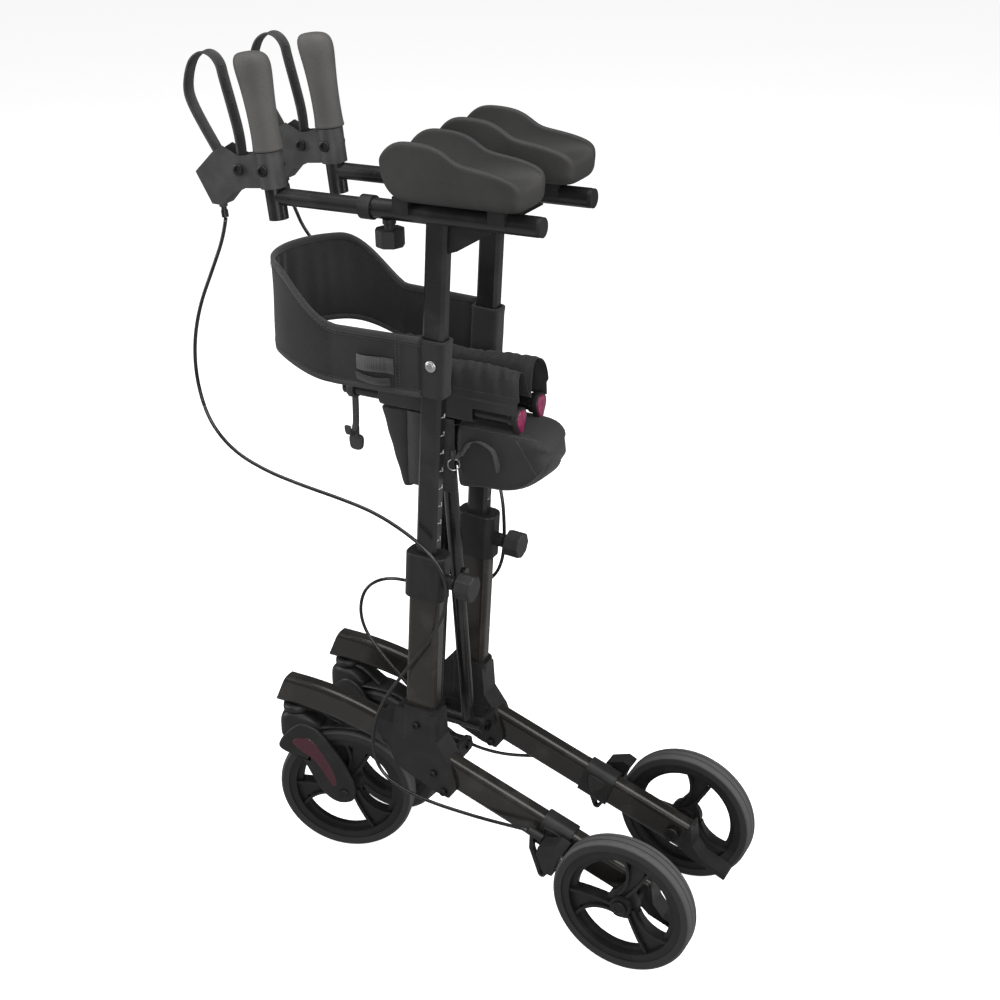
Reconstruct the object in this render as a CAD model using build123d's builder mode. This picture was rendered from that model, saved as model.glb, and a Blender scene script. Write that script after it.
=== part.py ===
from build123d import *
import math
import os

# Folding upright walker with forearm supports, modelled folded flat from side to side.
# +X points forward, +Y to the walker's left, +Z up. Lengths are in millimetres.
# The model is drawn from the rear axle line and moved at the end, so that its origin is on
# the floor under the middle of its box.

# ---- Driving dimensions: frame ----
half_track = 71.3          # mid-plane to the middle of each side frame, folded
wheel_radius = 100.0       # all four wheels are 8 inch wheels
wheel_width = 28.0
wheel_plane = 113.0        # mid-plane to the middle of each rear wheel
rail_height = 45.0
rail_width = 26.0
rail_corner = 9.0
tube_wall = 2.0
rail_slope = 19.0          # degrees, rising from the rear axle to the front
rail_over_axle = 2.0
rail_front_level = 258.0   # height of the level front stretch of the rail
rail_bend_radius = 450.0
rail_tip = 560.0
rail_tip_slant = 23.0      # degrees, the front cut leans back at the top
rail_tail = 17.0           # how far the rail runs behind the rear axle
stem_x = 540.6             # caster stem, forward of the rear axle
caster_trail = 72.0
caster_turn = {"left": 17.0, "right": 6.0}   # degrees the wheel is swung inwards

# ---- Driving dimensions: posts ----
post_lean = 3.06           # degrees, the posts lean back
post_cross = 331.7         # where the post's middle line crosses the rail's
outer_length = 46.0
outer_width = 26.0
outer_corner = 8.0
outer_wall = 2.0
outer_foot = 30.0          # post foot above the crossing, along the post
outer_top = 300.0
inner_length = 30.0
inner_width = 20.0
inner_chamfer = 4.0
inner_wall = 1.8
inner_foot = 190.0         # lower end of the inner post, above the crossing
arm_cross = 779.0          # the forearm tube's middle line, above the crossing
fit_gap = 0.3              # room between pieces that slide or sit inside each other
collar_wall = 6.0
collar_low = 253.0
collar_high = 318.0

# ---- Driving dimensions: forearm support and handle ----
arm_drop = 1.36            # degrees, the forearm tube falls towards the front
arm_radius = 12.7
arm_wall = 1.5
arm_rear = 134.5           # tube length behind the post
arm_front = 105.0          # tube length ahead of the post
handle_radius = 11.0
handle_reach = 237.0       # from the post to the grip post
handle_engaged = 150.0     # length of the handle tube inside the forearm tube
grip_lean = 7.0            # degrees forward
grip_post_radius = 12.7
grip_post_drop = 30.0
grip_post_rise = 160.0
pad_length = 184.0
pad_front = 59.0           # ahead of the post
pad_half_width = 42.0
pad_height = 76.0
pad_lift = 21.0            # pad underside above the tube's middle line
knob_radius = 19.0
knob_thick = 22.0
stud_radius = 4.0

# ---- Driving dimensions: cross brace and seat ----
pivot_half = 28.5          # lower pivots from the mid-plane, folded
pivot_level = 215.0
seat_level = 730.0
bar_radius = 10.0
bar_apart = 24.0           # the two bars stand side by side
bar_middle_x = 323.0
seat_rail_radius = 11.0
seat_cap_radius = 13.5
seat_rail_rear = 214.0
seat_rail_front = 456.0
cable_radius = 2.5

# ---- Places worked out from the dimensions ----
slope = math.radians(rail_slope)
lean = math.radians(post_lean)
drop = math.radians(arm_drop)
tilt = math.radians(grip_lean)
rail_tan = math.tan(slope)
bend_x = (rail_front_level - wheel_radius - rail_over_axle) / rail_tan
bend_reach = rail_bend_radius * math.tan(slope / 2)
cross_z = wheel_radius + rail_over_axle + post_cross * rail_tan
wheel_inner = wheel_plane - wheel_width / 2
rail_outer = half_track + rail_width / 2


def rail_z(x):
    """Height of the rail's middle line on its sloping stretch."""
    return wheel_radius + rail_over_axle + x * rail_tan


def side_plane(y=half_track):
    """A plane that looks at the walker's side: its x is forward and its y is up."""
    return Plane(origin=(0, y, 0), x_dir=(1, 0, 0), z_dir=(0, -1, 0))


def post_point(height, ahead=0.0):
    """A point of the side plane, measured up along the post from its crossing with the rail."""
    return (
        post_cross - height * math.sin(lean) + ahead * math.cos(lean),
        cross_z + height * math.cos(lean) + ahead * math.sin(lean),
    )


def post_plane(height, y=half_track):
    """A plane across the post: its x is forward and its y is to the left."""
    x, z = post_point(height)
    return Plane(origin=(x, y, z), x_dir=(math.cos(lean), 0, math.sin(lean)),
                 z_dir=(-math.sin(lean), 0, math.cos(lean)))


arm_x, arm_z = post_point(arm_cross)


def arm_point(ahead, above=0.0):
    """A point of the side plane, measured along the forearm tube from the post."""
    return (
        arm_x + ahead * math.cos(drop) + above * math.sin(drop),
        arm_z - ahead * math.sin(drop) + above * math.cos(drop),
    )


def arm_plane(ahead, above=0.0, y=half_track):
    """A plane across the forearm tube: its x is to the left and its y is up."""
    x, z = arm_point(ahead, above)
    return Plane(origin=(x, y, z), x_dir=(0, 1, 0), z_dir=(math.cos(drop), 0, -math.sin(drop)))


grip_x, grip_z = arm_point(handle_reach)


def grip_point(height, ahead=0.0):
    """A point of the side plane, measured up along the grip post from the handle tube."""
    return (
        grip_x + height * math.sin(tilt) + ahead * math.cos(tilt),
        grip_z + height * math.cos(tilt) - ahead * math.sin(tilt),
    )


def grip_plane(height, y=half_track):
    """A plane across the grip post: its x is forward and its y is to the left."""
    x, z = grip_point(height)
    return Plane(origin=(x, y, z), x_dir=(math.cos(tilt), 0, -math.sin(tilt)),
                 z_dir=(math.sin(tilt), 0, math.cos(tilt)))


def solid_point(point, y=half_track):
    """A side plane point as a point in space."""
    return (point[0], y, point[1])


def bar(start, end, radius, mode=Mode.ADD):
    """A round bar from one point to another, joined to the piece being made."""
    axis = Vector(*end) - Vector(*start)
    with Locations(Plane(origin=start, z_dir=axis)):
        Cylinder(radius, axis.length, align=(Align.CENTER, Align.CENTER, Align.MIN), mode=mode)


def mirrored(source):
    """The same piece for the walker's right side."""
    with BuildPart() as twin:
        mirror(source.part, about=Plane.XZ)
    return twin


# ---- Side frame ----
def rail_path(front_x=rail_tip):
    """The rail's middle line: a slope, one bend and a level front stretch."""
    tail = (-rail_tail, rail_z(-rail_tail))
    bend_in = (bend_x - bend_reach * math.cos(slope), rail_front_level - bend_reach * math.sin(slope))
    bend_out = (bend_x + bend_reach, rail_front_level)
    with BuildLine(side_plane()) as path:
        first = Line(tail, bend_in)
        TangentArc(bend_in, bend_out, tangent=first % 1)
        Line(bend_out, (front_x, rail_front_level))
    return path.line


rail_line = rail_path(rail_tip + rail_height)


def tail_section(width, height, corner):
    """The rail's cross-section at its tail, as a face across its middle line."""
    plane = Plane(origin=rail_line @ 0, x_dir=(0, 1, 0), z_dir=rail_line % 0)
    with BuildSketch(plane, mode=Mode.PRIVATE) as section:
        RectangleRounded(width, height, corner)
    return section.sketch


def make_rail():
    outside = tail_section(rail_width, rail_height, rail_corner)
    inside = tail_section(rail_width - 2 * tube_wall, rail_height - 2 * tube_wall, rail_corner - tube_wall)
    with BuildPart() as rail:
        sweep(outside, path=rail_line)
        sweep(inside, path=rail_line, mode=Mode.SUBTRACT)
        tip = Plane(origin=(rail_tip, 0, rail_front_level),
                    z_dir=(math.cos(math.radians(rail_tip_slant)), 0, math.sin(math.radians(rail_tip_slant))))
        split(bisect_by=tip, keep=Keep.BOTTOM)
        bar((0, half_track - rail_width, wheel_radius), (0, half_track + rail_width, wheel_radius),
            axle_radius + fit_gap, Mode.SUBTRACT)
        bar((stem_x, half_track, rail_front_level - rail_height), (stem_x, half_track, rail_front_level),
            stem_radius + fit_gap, Mode.SUBTRACT)
        for x, z in joint_bolts:
            bar((x, half_track - rail_width, z), (x, half_track + rail_width, z),
                bolt_radius + fit_gap, Mode.SUBTRACT)
    return rail


axle_radius = 6.0
stem_radius = 8.0
bolt_radius = 3.0
bolt_head = 5.5
bolt_head_high = 3.0
joint_bolts = [(post_cross - 28.0, rail_z(post_cross - 28.0) - 11.0),
               (post_cross - 44.0, rail_z(post_cross - 44.0) - 31.0)]


def rounded_tube(plane, length, width, corner, wall, height):
    """A straight oval tube that stands on the plane."""
    with BuildPart() as tube:
        with BuildSketch(plane):
            RectangleRounded(length, width, corner)
            RectangleRounded(length - 2 * wall, width - 2 * wall, corner - wall, mode=Mode.SUBTRACT)
        extrude(amount=height)
    return tube


def make_outer_post():
    tube = rounded_tube(post_plane(outer_foot), outer_length, outer_width, outer_corner, outer_wall,
                        outer_top - outer_foot)
    with BuildPart() as post:
        add(tube.part)
        x, z = post_point(post_screw_height)
        bar((x, half_track - outer_width, z), (x, half_track + outer_width, z),
            bolt_radius + fit_gap, Mode.SUBTRACT)
        bar(solid_point(post_point(knob_height)), solid_point(post_point(knob_height, -outer_length)),
            stud_radius + fit_gap, Mode.SUBTRACT)
    return post


post_screw_height = 52.0
joint_wall = 5.0
joint_socket_top = 80.0
lug_thick = 6.0
lug_reach = 13.0
lug_rear = bar_middle_x - 42.0
lug_front = bar_middle_x + 36.0
pivot_pin_radius = 4.0


def make_frame_joint():
    """The moulded joint: a socket for the post, a saddle over the rail and lugs for the cross brace."""
    u, v = post_cross, cross_z
    outline = [(u - 30, v + 72), (u - 33, v + 30), (u - 52, v + 4), (u - 63, v - 24), (u - 64, v - 38),
               (u - 52, v - 55), (u - 29, v - 50), (u + 4, v - 36), (u + 32, v - 24), (u + 46, v + 10),
               (u + 68, v + 27), (u + 64, v + 46), (u + 36, v + 44), (u + 31, v + 74)]
    half = rail_width / 2 + joint_wall
    rail_cut = tail_section(rail_width + 2 * fit_gap, rail_height + 2 * fit_gap, rail_corner)
    with BuildPart() as joint:
        with BuildSketch(side_plane()):
            with BuildLine():
                Polyline(*outline, close=True)
            make_face()
            fillet(vertices(), 3.5)
        extrude(amount=half, both=True)
        with BuildSketch(post_plane(outer_foot - 8)):
            RectangleRounded(outer_length + 2 * joint_wall, outer_width + 2 * joint_wall + 2, outer_corner + joint_wall)
        extrude(amount=joint_socket_top - outer_foot + 8)
        for x in (lug_rear, lug_front):
            with BuildSketch(Plane.YZ.offset(x)):
                with Locations((pivot_half, pivot_level)):
                    Circle(lug_reach)
                with Locations(((pivot_half + half_track - half) / 2 + 1, pivot_level)):
                    Rectangle(half_track - half - pivot_half + 2, 2 * lug_reach)
            extrude(amount=lug_thick)
        with BuildSketch(Plane.YZ.offset(lug_rear)):
            with Locations((half_track - half - 1, pivot_level)):
                Rectangle(4, 2 * lug_reach)
        extrude(amount=lug_front + lug_thick - lug_rear)
        sweep(rail_cut, path=rail_line, mode=Mode.SUBTRACT)
        with BuildSketch(post_plane(outer_foot)):
            RectangleRounded(outer_length + 2 * fit_gap, outer_width + 2 * fit_gap, outer_corner)
        extrude(amount=outer_top, mode=Mode.SUBTRACT)
        for x, z in joint_bolts + [post_point(post_screw_height)]:
            bar((x, half_track - rail_width, z), (x, half_track + rail_width, z),
                bolt_radius + fit_gap, Mode.SUBTRACT)
        bar((lug_rear - 1, pivot_half, pivot_level), (lug_front + lug_thick + 1, pivot_half, pivot_level),
            pivot_pin_radius + fit_gap, Mode.SUBTRACT)
    return joint


spacer_radius = 11.0
stem_cap_radius = 10.0
fork_top = rail_front_level - rail_height / 2 - 10.0
cable_stop = (148.0, half_track + rail_width / 2 + 11.0, rail_z(148.0) + 1.0)


def make_frame_hardware(side):
    """Steel on the side frame: rear axle, caster stem, joint bolts, post screw and pivot pins."""
    half = rail_width / 2 + joint_wall
    with BuildPart() as hardware:
        bar((0, half_track - rail_width / 2 - 4, wheel_radius), (0, wheel_plane + 15, wheel_radius), axle_radius)
        bar((0, rail_outer + 0.2, wheel_radius), (0, wheel_inner - 0.6, wheel_radius), spacer_radius)
        bar((0, wheel_plane + 15, wheel_radius), (0, wheel_plane + 18, wheel_radius), 9.5)
        bar((0, half_track - rail_width / 2 - 6, wheel_radius),
            (0, half_track - rail_width / 2 - 0.2, wheel_radius), 9.5)
    with BuildPart() as stem:
        bar((stem_x, half_track, fork_top - 40), (stem_x, half_track, rail_front_level - 10), stem_radius)
        bar((stem_x, half_track, fork_top + 0.4), (stem_x, half_track, rail_front_level - rail_height / 2 - 0.3),
            stem_cap_radius)
    bolts = []
    for x, z in joint_bolts + [post_point(post_screw_height)]:
        with BuildPart() as bolt:
            reach = half + (1.2 if z > cross_z + 20 else 0.2)
            bar((x, half_track - reach, z), (x, half_track + reach, z), bolt_radius)
            for near, far in ((reach, reach + bolt_head_high), (-reach, -reach - bolt_head_high)):
                bar((x, half_track + near, z), (x, half_track + far, z), bolt_head)
        bolts.append(bolt.part)
    pin_ends = ((lug_rear - 4, lug_rear + lug_thick + 12), (lug_front + lug_thick + 4, lug_front - 12))
    for outer, inner in pin_ends:
        inward = 1 if inner > outer else -1
        # The right side's pins end flush in their lugs: that pivot is left open for the fold.
        tip = inner if side == "left" else outer + inward * (4 + lug_thick)
        with BuildPart() as pin:
            bar((outer, pivot_half, pivot_level), (tip, pivot_half, pivot_level), pivot_pin_radius)
            bar((outer, pivot_half, pivot_level), (outer + inward * 3.8, pivot_half, pivot_level), 7.0)
        bolts.append(pin.part)
    with BuildPart() as stop:
        x, y, z = cable_stop
        bar((x, y, z), (x - 14, y, z - 14 * rail_tan), 3.6)
    with BuildPart() as group:
        add([hardware.part, stem.part, stop.part] + bolts)
    return group


boss_radius = 9.5
boss_reach = 13.0
knob_height = 281.0        # middle of the height knob above the crossing


def make_height_collar():
    """The moulded collar at the top of the outer post, with the boss for its knob."""
    with BuildPart() as collar:
        with BuildSketch(post_plane(collar_low)):
            RectangleRounded(outer_length + 2 * collar_wall, outer_width + 2 * collar_wall,
                             outer_corner + collar_wall)
        extrude(amount=collar_high - collar_low)
        fillet(collar.edges().group_by(Axis.Z)[-1], 2.5)
        rear = outer_length / 2 + collar_wall
        bar(solid_point(post_point(knob_height, -rear + 3)),
            solid_point(post_point(knob_height, -rear - boss_reach)), boss_radius)
        with BuildSketch(post_plane(collar_low)):
            RectangleRounded(outer_length + 2 * fit_gap, outer_width + 2 * fit_gap, outer_corner)
        extrude(amount=outer_top - collar_low + fit_gap, mode=Mode.SUBTRACT)
        with BuildSketch(post_plane(collar_low)):
            Rectangle(inner_length + 2 * fit_gap, inner_width + 2 * fit_gap)
            chamfer(vertices(), inner_chamfer)
        extrude(amount=collar_high, mode=Mode.SUBTRACT)
        bar(solid_point(post_point(knob_height, -inner_length / 2)),
            solid_point(post_point(knob_height, -rear - boss_reach - 1)),
            stud_radius + fit_gap, Mode.SUBTRACT)
    return collar


def lobed_knob(start, direction, stud_back):
    """A hand knob with eight lobes on a round neck, and its stud behind it."""
    along = Vector(*direction).normalized()
    face = Plane(origin=start, z_dir=along)
    with BuildPart() as knob:
        with BuildSketch(face):
            Circle(7.0)
        extrude(amount=7)
        with BuildSketch(face.offset(6)):
            RegularPolygon(knob_radius, 8)
            fillet(vertices(), 3.5)
        extrude(amount=knob_thick)
        chamfer(knob.faces().sort_by(Axis(start, tuple(along)))[-1].edges(), 1.5)
        with BuildSketch(face.offset(-stud_back)):
            Circle(stud_radius)
        extrude(amount=stud_back + 1)
    return knob


def make_height_knob():
    rear = outer_length / 2 + collar_wall + boss_reach
    start = solid_point(post_point(knob_height, -rear - 0.6))
    stud = rear + 0.6 - inner_length / 2 - 0.6
    return lobed_knob(start, (-math.cos(lean), 0, -math.sin(lean)), stud)


def make_inner_post():
    """The sliding post and the gusset that is welded behind it, under the forearm tube."""
    with BuildPart() as post:
        for shrink, mode in ((0.0, Mode.ADD), (inner_wall, Mode.SUBTRACT)):
            with BuildSketch(post_plane(inner_foot)):
                Rectangle(inner_length - 2 * shrink, inner_width - 2 * shrink)
                chamfer(vertices(), inner_chamfer - shrink / 2)
            extrude(amount=arm_cross - inner_foot, mode=mode)
        bar(solid_point(arm_point(-arm_rear - 5)), solid_point(arm_point(arm_front)),
            arm_radius + weld_gap, Mode.SUBTRACT)
    rear = -inner_length / 2 - weld_gap
    with BuildPart() as gusset:
        with BuildSketch(side_plane()):
            with BuildLine():
                Polyline(post_point(arm_cross - 45, rear), post_point(arm_cross - 2, rear),
                         arm_point(-68, -8), arm_point(-68, -16), post_point(arm_cross - 40, rear - 12),
                         close=True)
            make_face()
        extrude(amount=gusset_thick / 2, both=True)
        bar(solid_point(arm_point(-arm_rear - 5)), solid_point(arm_point(arm_front)),
            arm_radius + weld_gap, Mode.SUBTRACT)
    with BuildPart() as group:
        add([post.part, gusset.part])
    return group


gusset_thick = 5.0
weld_gap = 0.05


def make_arm_tube():
    with BuildPart() as tube:
        bar(solid_point(arm_point(-arm_rear)), solid_point(arm_point(arm_front)), arm_radius)
        bar(solid_point(arm_point(-arm_rear)), solid_point(arm_point(arm_front)),
            arm_radius - arm_wall, Mode.SUBTRACT)
        bar(solid_point(arm_point(arm_knob_ahead)), solid_point(arm_point(arm_knob_ahead, -2 * arm_radius)),
            stud_radius + fit_gap, Mode.SUBTRACT)
        with BuildSketch(arm_plane(clear_end)):
            Circle(arm_radius + 1)
            Circle(arm_radius - groove_depth, mode=Mode.SUBTRACT)
        extrude(amount=groove_width, mode=Mode.SUBTRACT)
    return tube


bracket_rear = -95.0
groove_width = 1.0
groove_depth = 0.3
clear_end = bracket_rear - 2.0     # a shallow ring ends the tube's clear rear stretch here
arm_knob_ahead = 71.0
bushing_length = 17.0
bushing_wall = 2.6
cap_length = 5.0
bracket_width = 30.0


def make_arm_fittings():
    """The front bushing, the rear end cap, the knob's nut block and the two pad brackets."""
    front = arm_front - bushing_length + 3
    with BuildPart() as bushing:
        bar(solid_point(arm_point(front)), solid_point(arm_point(arm_front + 3)), arm_radius + bushing_wall)
        bar(solid_point(arm_point(front - 1)), solid_point(arm_point(arm_front)),
            arm_radius + 0.05, Mode.SUBTRACT)
        bar(solid_point(arm_point(front - 1)), solid_point(arm_point(arm_front + 4)),
            handle_radius + fit_gap, Mode.SUBTRACT)
    with BuildPart() as cap:
        bar(solid_point(arm_point(-arm_rear - cap_length)), solid_point(arm_point(-arm_rear)), arm_radius - groove_depth)
        bar(solid_point(arm_point(-arm_rear)), solid_point(arm_point(-arm_rear + 14)),
            arm_radius - arm_wall - 0.05)
    with BuildPart() as nut:
        bar(solid_point(arm_point(arm_knob_ahead, -arm_radius + 1)),
            solid_point(arm_point(arm_knob_ahead, -arm_radius - 5)), 8.5)
        bar(solid_point(arm_point(arm_knob_ahead - 20)), solid_point(arm_point(arm_knob_ahead + 20)),
            arm_radius, Mode.SUBTRACT)
        bar(solid_point(arm_point(arm_knob_ahead)), solid_point(arm_point(arm_knob_ahead, -40)),
            stud_radius + fit_gap, Mode.SUBTRACT)
    brackets = []
    for ahead in (bracket_rear, 35.0):
        with BuildPart() as bracket:
            with BuildSketch(arm_plane(ahead)):
                with Locations((0, (pad_lift - 0.3) / 2)):
                    Rectangle(bracket_width, pad_lift - 0.3)
            extrude(amount=22)
            bar(solid_point(arm_point(ahead - 1)), solid_point(arm_point(ahead + 23)),
                arm_radius + 0.05, Mode.SUBTRACT)
        brackets.append(bracket.part)
    with BuildPart() as group:
        add([bushing.part, cap.part, nut.part] + brackets)
    return group


def make_arm_pad():
    """The forearm trough: high side walls in front that step down towards the elbow."""
    rear, front = pad_front - pad_length, pad_front
    low, high = pad_lift, pad_lift + pad_height
    outline = [(rear + 12, low), (front - 26, low), (front - 9, low + 21), (front, low + 50),
               (front - 8, high - 10), (front - 31, high), (front - 72, high - 2), (front - 90, high - 17),
               (front - 111, high - 24), (rear + 26, high - 28), (rear + 7, high - 35), (rear - 3, high - 49),
               (rear + 1, low + 9)]
    with BuildPart() as pad:
        with BuildSketch(side_plane()):
            with BuildLine():
                Polyline(*[arm_point(*p) for p in outline], close=True)
            make_face()
            fillet(vertices(), 3.0)
        extrude(amount=pad_half_width, both=True)
        fillet(pad.faces().filter_by(Axis.Y).edges(), 4.0)
        with BuildSketch(arm_plane(rear - 12)):
            with Locations((0, low + 28 + pad_height / 2)):
                RectangleRounded(2 * pad_half_width - 30, pad_height, 20)
        extrude(amount=pad_length + 30, mode=Mode.SUBTRACT)
    return pad


def make_arm_knob():
    start = solid_point(arm_point(arm_knob_ahead, -arm_radius - 5.6))
    stud = 5.6 + arm_wall - 0.6
    return lobed_knob(start, (-math.sin(drop), 0, -math.cos(drop)), stud)


# ---- Handle ----
def make_handle_tube():
    """The sliding tube, with the upright that carries the grip welded to its front end."""
    inside = handle_radius - arm_wall
    with BuildPart() as tube:
        bar(solid_point(arm_point(handle_reach - handle_span)), solid_point((grip_x, grip_z)), handle_radius)
        bar(solid_point(arm_point(handle_reach - handle_span)), solid_point((grip_x, grip_z)),
            inside, Mode.SUBTRACT)
        bar(solid_point(grip_point(-grip_post_drop)), solid_point(grip_point(grip_post_rise)), grip_post_radius)
        bar(solid_point(grip_point(-grip_post_drop - 1)), solid_point(grip_point(grip_post_rise + 1)),
            grip_post_radius - tube_wall, Mode.SUBTRACT)
        x, z = grip_point(clamp_bolt_height)
        bar((x, half_track - 20, z), (x, half_track + 20, z), bolt_radius + fit_gap, Mode.SUBTRACT)
    return tube


handle_span = handle_engaged + handle_reach - arm_front
clamp_bolt_height = 35.0
grip_low = 57.0
grip_high = 175.0
housing_low = 11.0
housing_radius = 17.0
housing_half = 12.0
pivot_ahead = 40.5
pivot_height = 36.0
lever_half = 9.5
hub_radius = 9.5


def make_grip():
    """The palm grip, which widens forwards and ends in a rounded top."""
    stations = [(grip_low, 16.6, 16.0, 0.0), (grip_low + 40, 19.4, 15.8, 0.5), (grip_low + 78, 21.5, 17.0, 1.0),
                (grip_high - 14, 24.5, 18.5, 1.0), (grip_high, 23.5, 17.5, 1.0)]
    with BuildPart() as grip:
        for height, length, width, ahead in stations:
            with BuildSketch(grip_plane(height)):
                with Locations((ahead, 0)):
                    Ellipse(length, width)
        loft()
        fillet(grip.faces().sort_by(Axis.Z)[-1].edges(), 9.0)
        bar(solid_point(grip_point(grip_low - 1)), solid_point(grip_point(grip_post_rise + fit_gap)),
            grip_post_radius + 0.1, Mode.SUBTRACT)
    return grip


pivot_point = grip_point(pivot_height, pivot_ahead)
ferrule_point = grip_point(-18.0, 84.0)


def make_brake_housing():
    """The clamp sleeve on the grip post and the forked plates that hold the brake lever."""
    plate = [(0, 12), (38, 12), (60, 4), (76, -10), (92, -8), (110, 34), (79, 58), (62, 66), (40, 53), (22, 54),
             (0, 54)]
    pocket = [(30, 26), (48, 21), (66, 12), (84, 6), (100, 36), (120, 44), (120, 90), (28, 90)]
    with BuildPart() as housing:
        with BuildSketch(side_plane()):
            with BuildLine():
                Polyline(*[grip_point(h, a) for a, h in plate], close=True)
            make_face()
            fillet(vertices(), 1.5)
        extrude(amount=housing_half, both=True)
        bar(solid_point(grip_point(housing_low)), solid_point(grip_point(grip_low - 0.5)), housing_radius)
        bar(solid_point(grip_point(-8, 84)), solid_point(grip_point(-14, 84)), 5.5)
        with BuildSketch(side_plane()):
            with BuildLine():
                Polyline(*[grip_point(h, a) for a, h in pocket], close=True)
            make_face()
        extrude(amount=lever_half + 0.6, both=True, mode=Mode.SUBTRACT)
        bar(solid_point(grip_point(housing_low - 5)), solid_point(grip_point(grip_low + 5)),
            grip_post_radius + 0.1, Mode.SUBTRACT)
        for x, z in (grip_point(clamp_bolt_height), pivot_point):
            bar((x, half_track - 20, z), (x, half_track + 20, z), bolt_radius + fit_gap, Mode.SUBTRACT)
    return housing


def make_housing_bolts():
    """The clamp bolt, the lever's pivot bolt and the cable's barrel adjuster."""
    solids = []
    for point, half in ((grip_point(clamp_bolt_height), housing_radius), (pivot_point, housing_half)):
        x, z = point
        with BuildPart() as bolt:
            bar((x, half_track - half - 0.2, z), (x, half_track + half + 0.2, z), bolt_radius)
            for sign in (-1, 1):
                bar((x, half_track + sign * (half + 0.2), z), (x, half_track + sign * (half + 3.4), z), bolt_head)
        solids.append(bolt.part)
    with BuildPart() as barrel:
        bar(solid_point(grip_point(-14.2, 84)), solid_point(grip_point(-19, 84)), 3.6)
        bar(solid_point(grip_point(-19, 84)), solid_point(grip_point(-28, 84)), 4.6)
    with BuildPart() as group:
        add(solids + [barrel.part])
    return group


def lever_point(ahead, above):
    """A point of the side plane, measured from the lever's pivot."""
    return (pivot_point[0] + ahead, pivot_point[1] + above)


def make_brake_lever():
    """A flat band bent into a tall loop, whose two legs run down to the pivot."""
    front = [(6, -4), (39, 10), (62, 38), (79, 76), (76, 102), (64, 124)]
    rear = [(46, 132), (28, 126), (20, 106), (12, 80), (2, 42), (2, 6)]
    with BuildPart() as lever:
        with BuildSketch(side_plane()):
            with BuildLine():
                Spline(*[lever_point(*p) for p in front + rear])
            trace(line_width=3.2)
        extrude(amount=lever_half, both=True)
        x, z = pivot_point
        bar((x, half_track - lever_half, z), (x, half_track + lever_half, z), hub_radius)
        bar((x, half_track - lever_half - 1, z), (x, half_track + lever_half + 1, z),
            bolt_radius + 0.05, Mode.SUBTRACT)
    return lever


# ---- Wheels ----
tyre_depth = 13.0
rim_depth = 11.0
hub_outer = 15.0
web_half = 4.5


def wheel_plane_at(centre, turn):
    """The plane through a wheel's middle, across its axle. Its x is the wheel's forward direction."""
    angle = math.radians(turn)
    return Plane(origin=centre, x_dir=(math.cos(angle), math.sin(angle), 0),
                 z_dir=(math.sin(angle), -math.cos(angle), 0))


def make_tyre(plane):
    half = wheel_width / 2
    inner = wheel_radius - tyre_depth
    with BuildPart() as tyre:
        with BuildSketch(plane):
            Circle(wheel_radius)
            Circle(inner, mode=Mode.SUBTRACT)
        extrude(amount=half, both=True)
        fillet(tyre.edges().filter_by(GeomType.CIRCLE).sort_by(SortBy.RADIUS)[-2:], 5.0)
    return tyre


def make_rim(plane, bore):
    """A moulded rim: a deep outer ring, a hub and three curved spokes with a rib on each edge."""
    half = wheel_width / 2
    ring_outer = wheel_radius - tyre_depth - 0.05
    ring_inner = ring_outer - rim_depth
    with BuildPart() as rim:
        with BuildSketch(plane):
            Circle(ring_outer)
            Circle(ring_inner, mode=Mode.SUBTRACT)
        extrude(amount=half - 2, both=True)
        with BuildSketch(plane):
            Circle(hub_outer)
        extrude(amount=half, both=True)
        with BuildSketch(plane):
            Circle(ring_inner + 1)
            Circle(ring_inner - 8, mode=Mode.SUBTRACT)
            Circle(hub_outer + 8)
        extrude(amount=web_half, both=True)
        for spoke in range(3):
            for spread, height, width in ((0, web_half, 20.0), (-15, web_half + 5, 4.0), (15, web_half + 5, 4.0)):
                turn = 90 + 120 * spoke
                with BuildSketch(plane):
                    start = Vector(hub_outer + 2, 0).rotate(Axis.Z, turn + spread * 1.4)
                    middle = Vector(45, 0).rotate(Axis.Z, turn + 20 + spread * 0.7)
                    end = Vector(ring_inner + 1, 0).rotate(Axis.Z, turn + 15 + spread)
                    with BuildLine():
                        ThreePointArc(start, middle, end)
                    trace(line_width=width)
                extrude(amount=height, both=True)
        with BuildSketch(plane):
            Circle(bore)
        extrude(amount=half + 1, both=True, mode=Mode.SUBTRACT)
    return rim


# ---- Casters ----
fork_half = 24.0
fork_wall = 6.0


def caster_frame(side):
    """Stem foot point, wheel centre and turn angle of one caster."""
    sign = 1 if side == "left" else -1
    turn = sign * caster_turn[side]
    angle = math.radians(turn)
    centre = (stem_x - caster_trail * math.cos(angle), sign * half_track - caster_trail * math.sin(angle),
              wheel_radius)
    return (stem_x, sign * half_track), centre, turn


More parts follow.
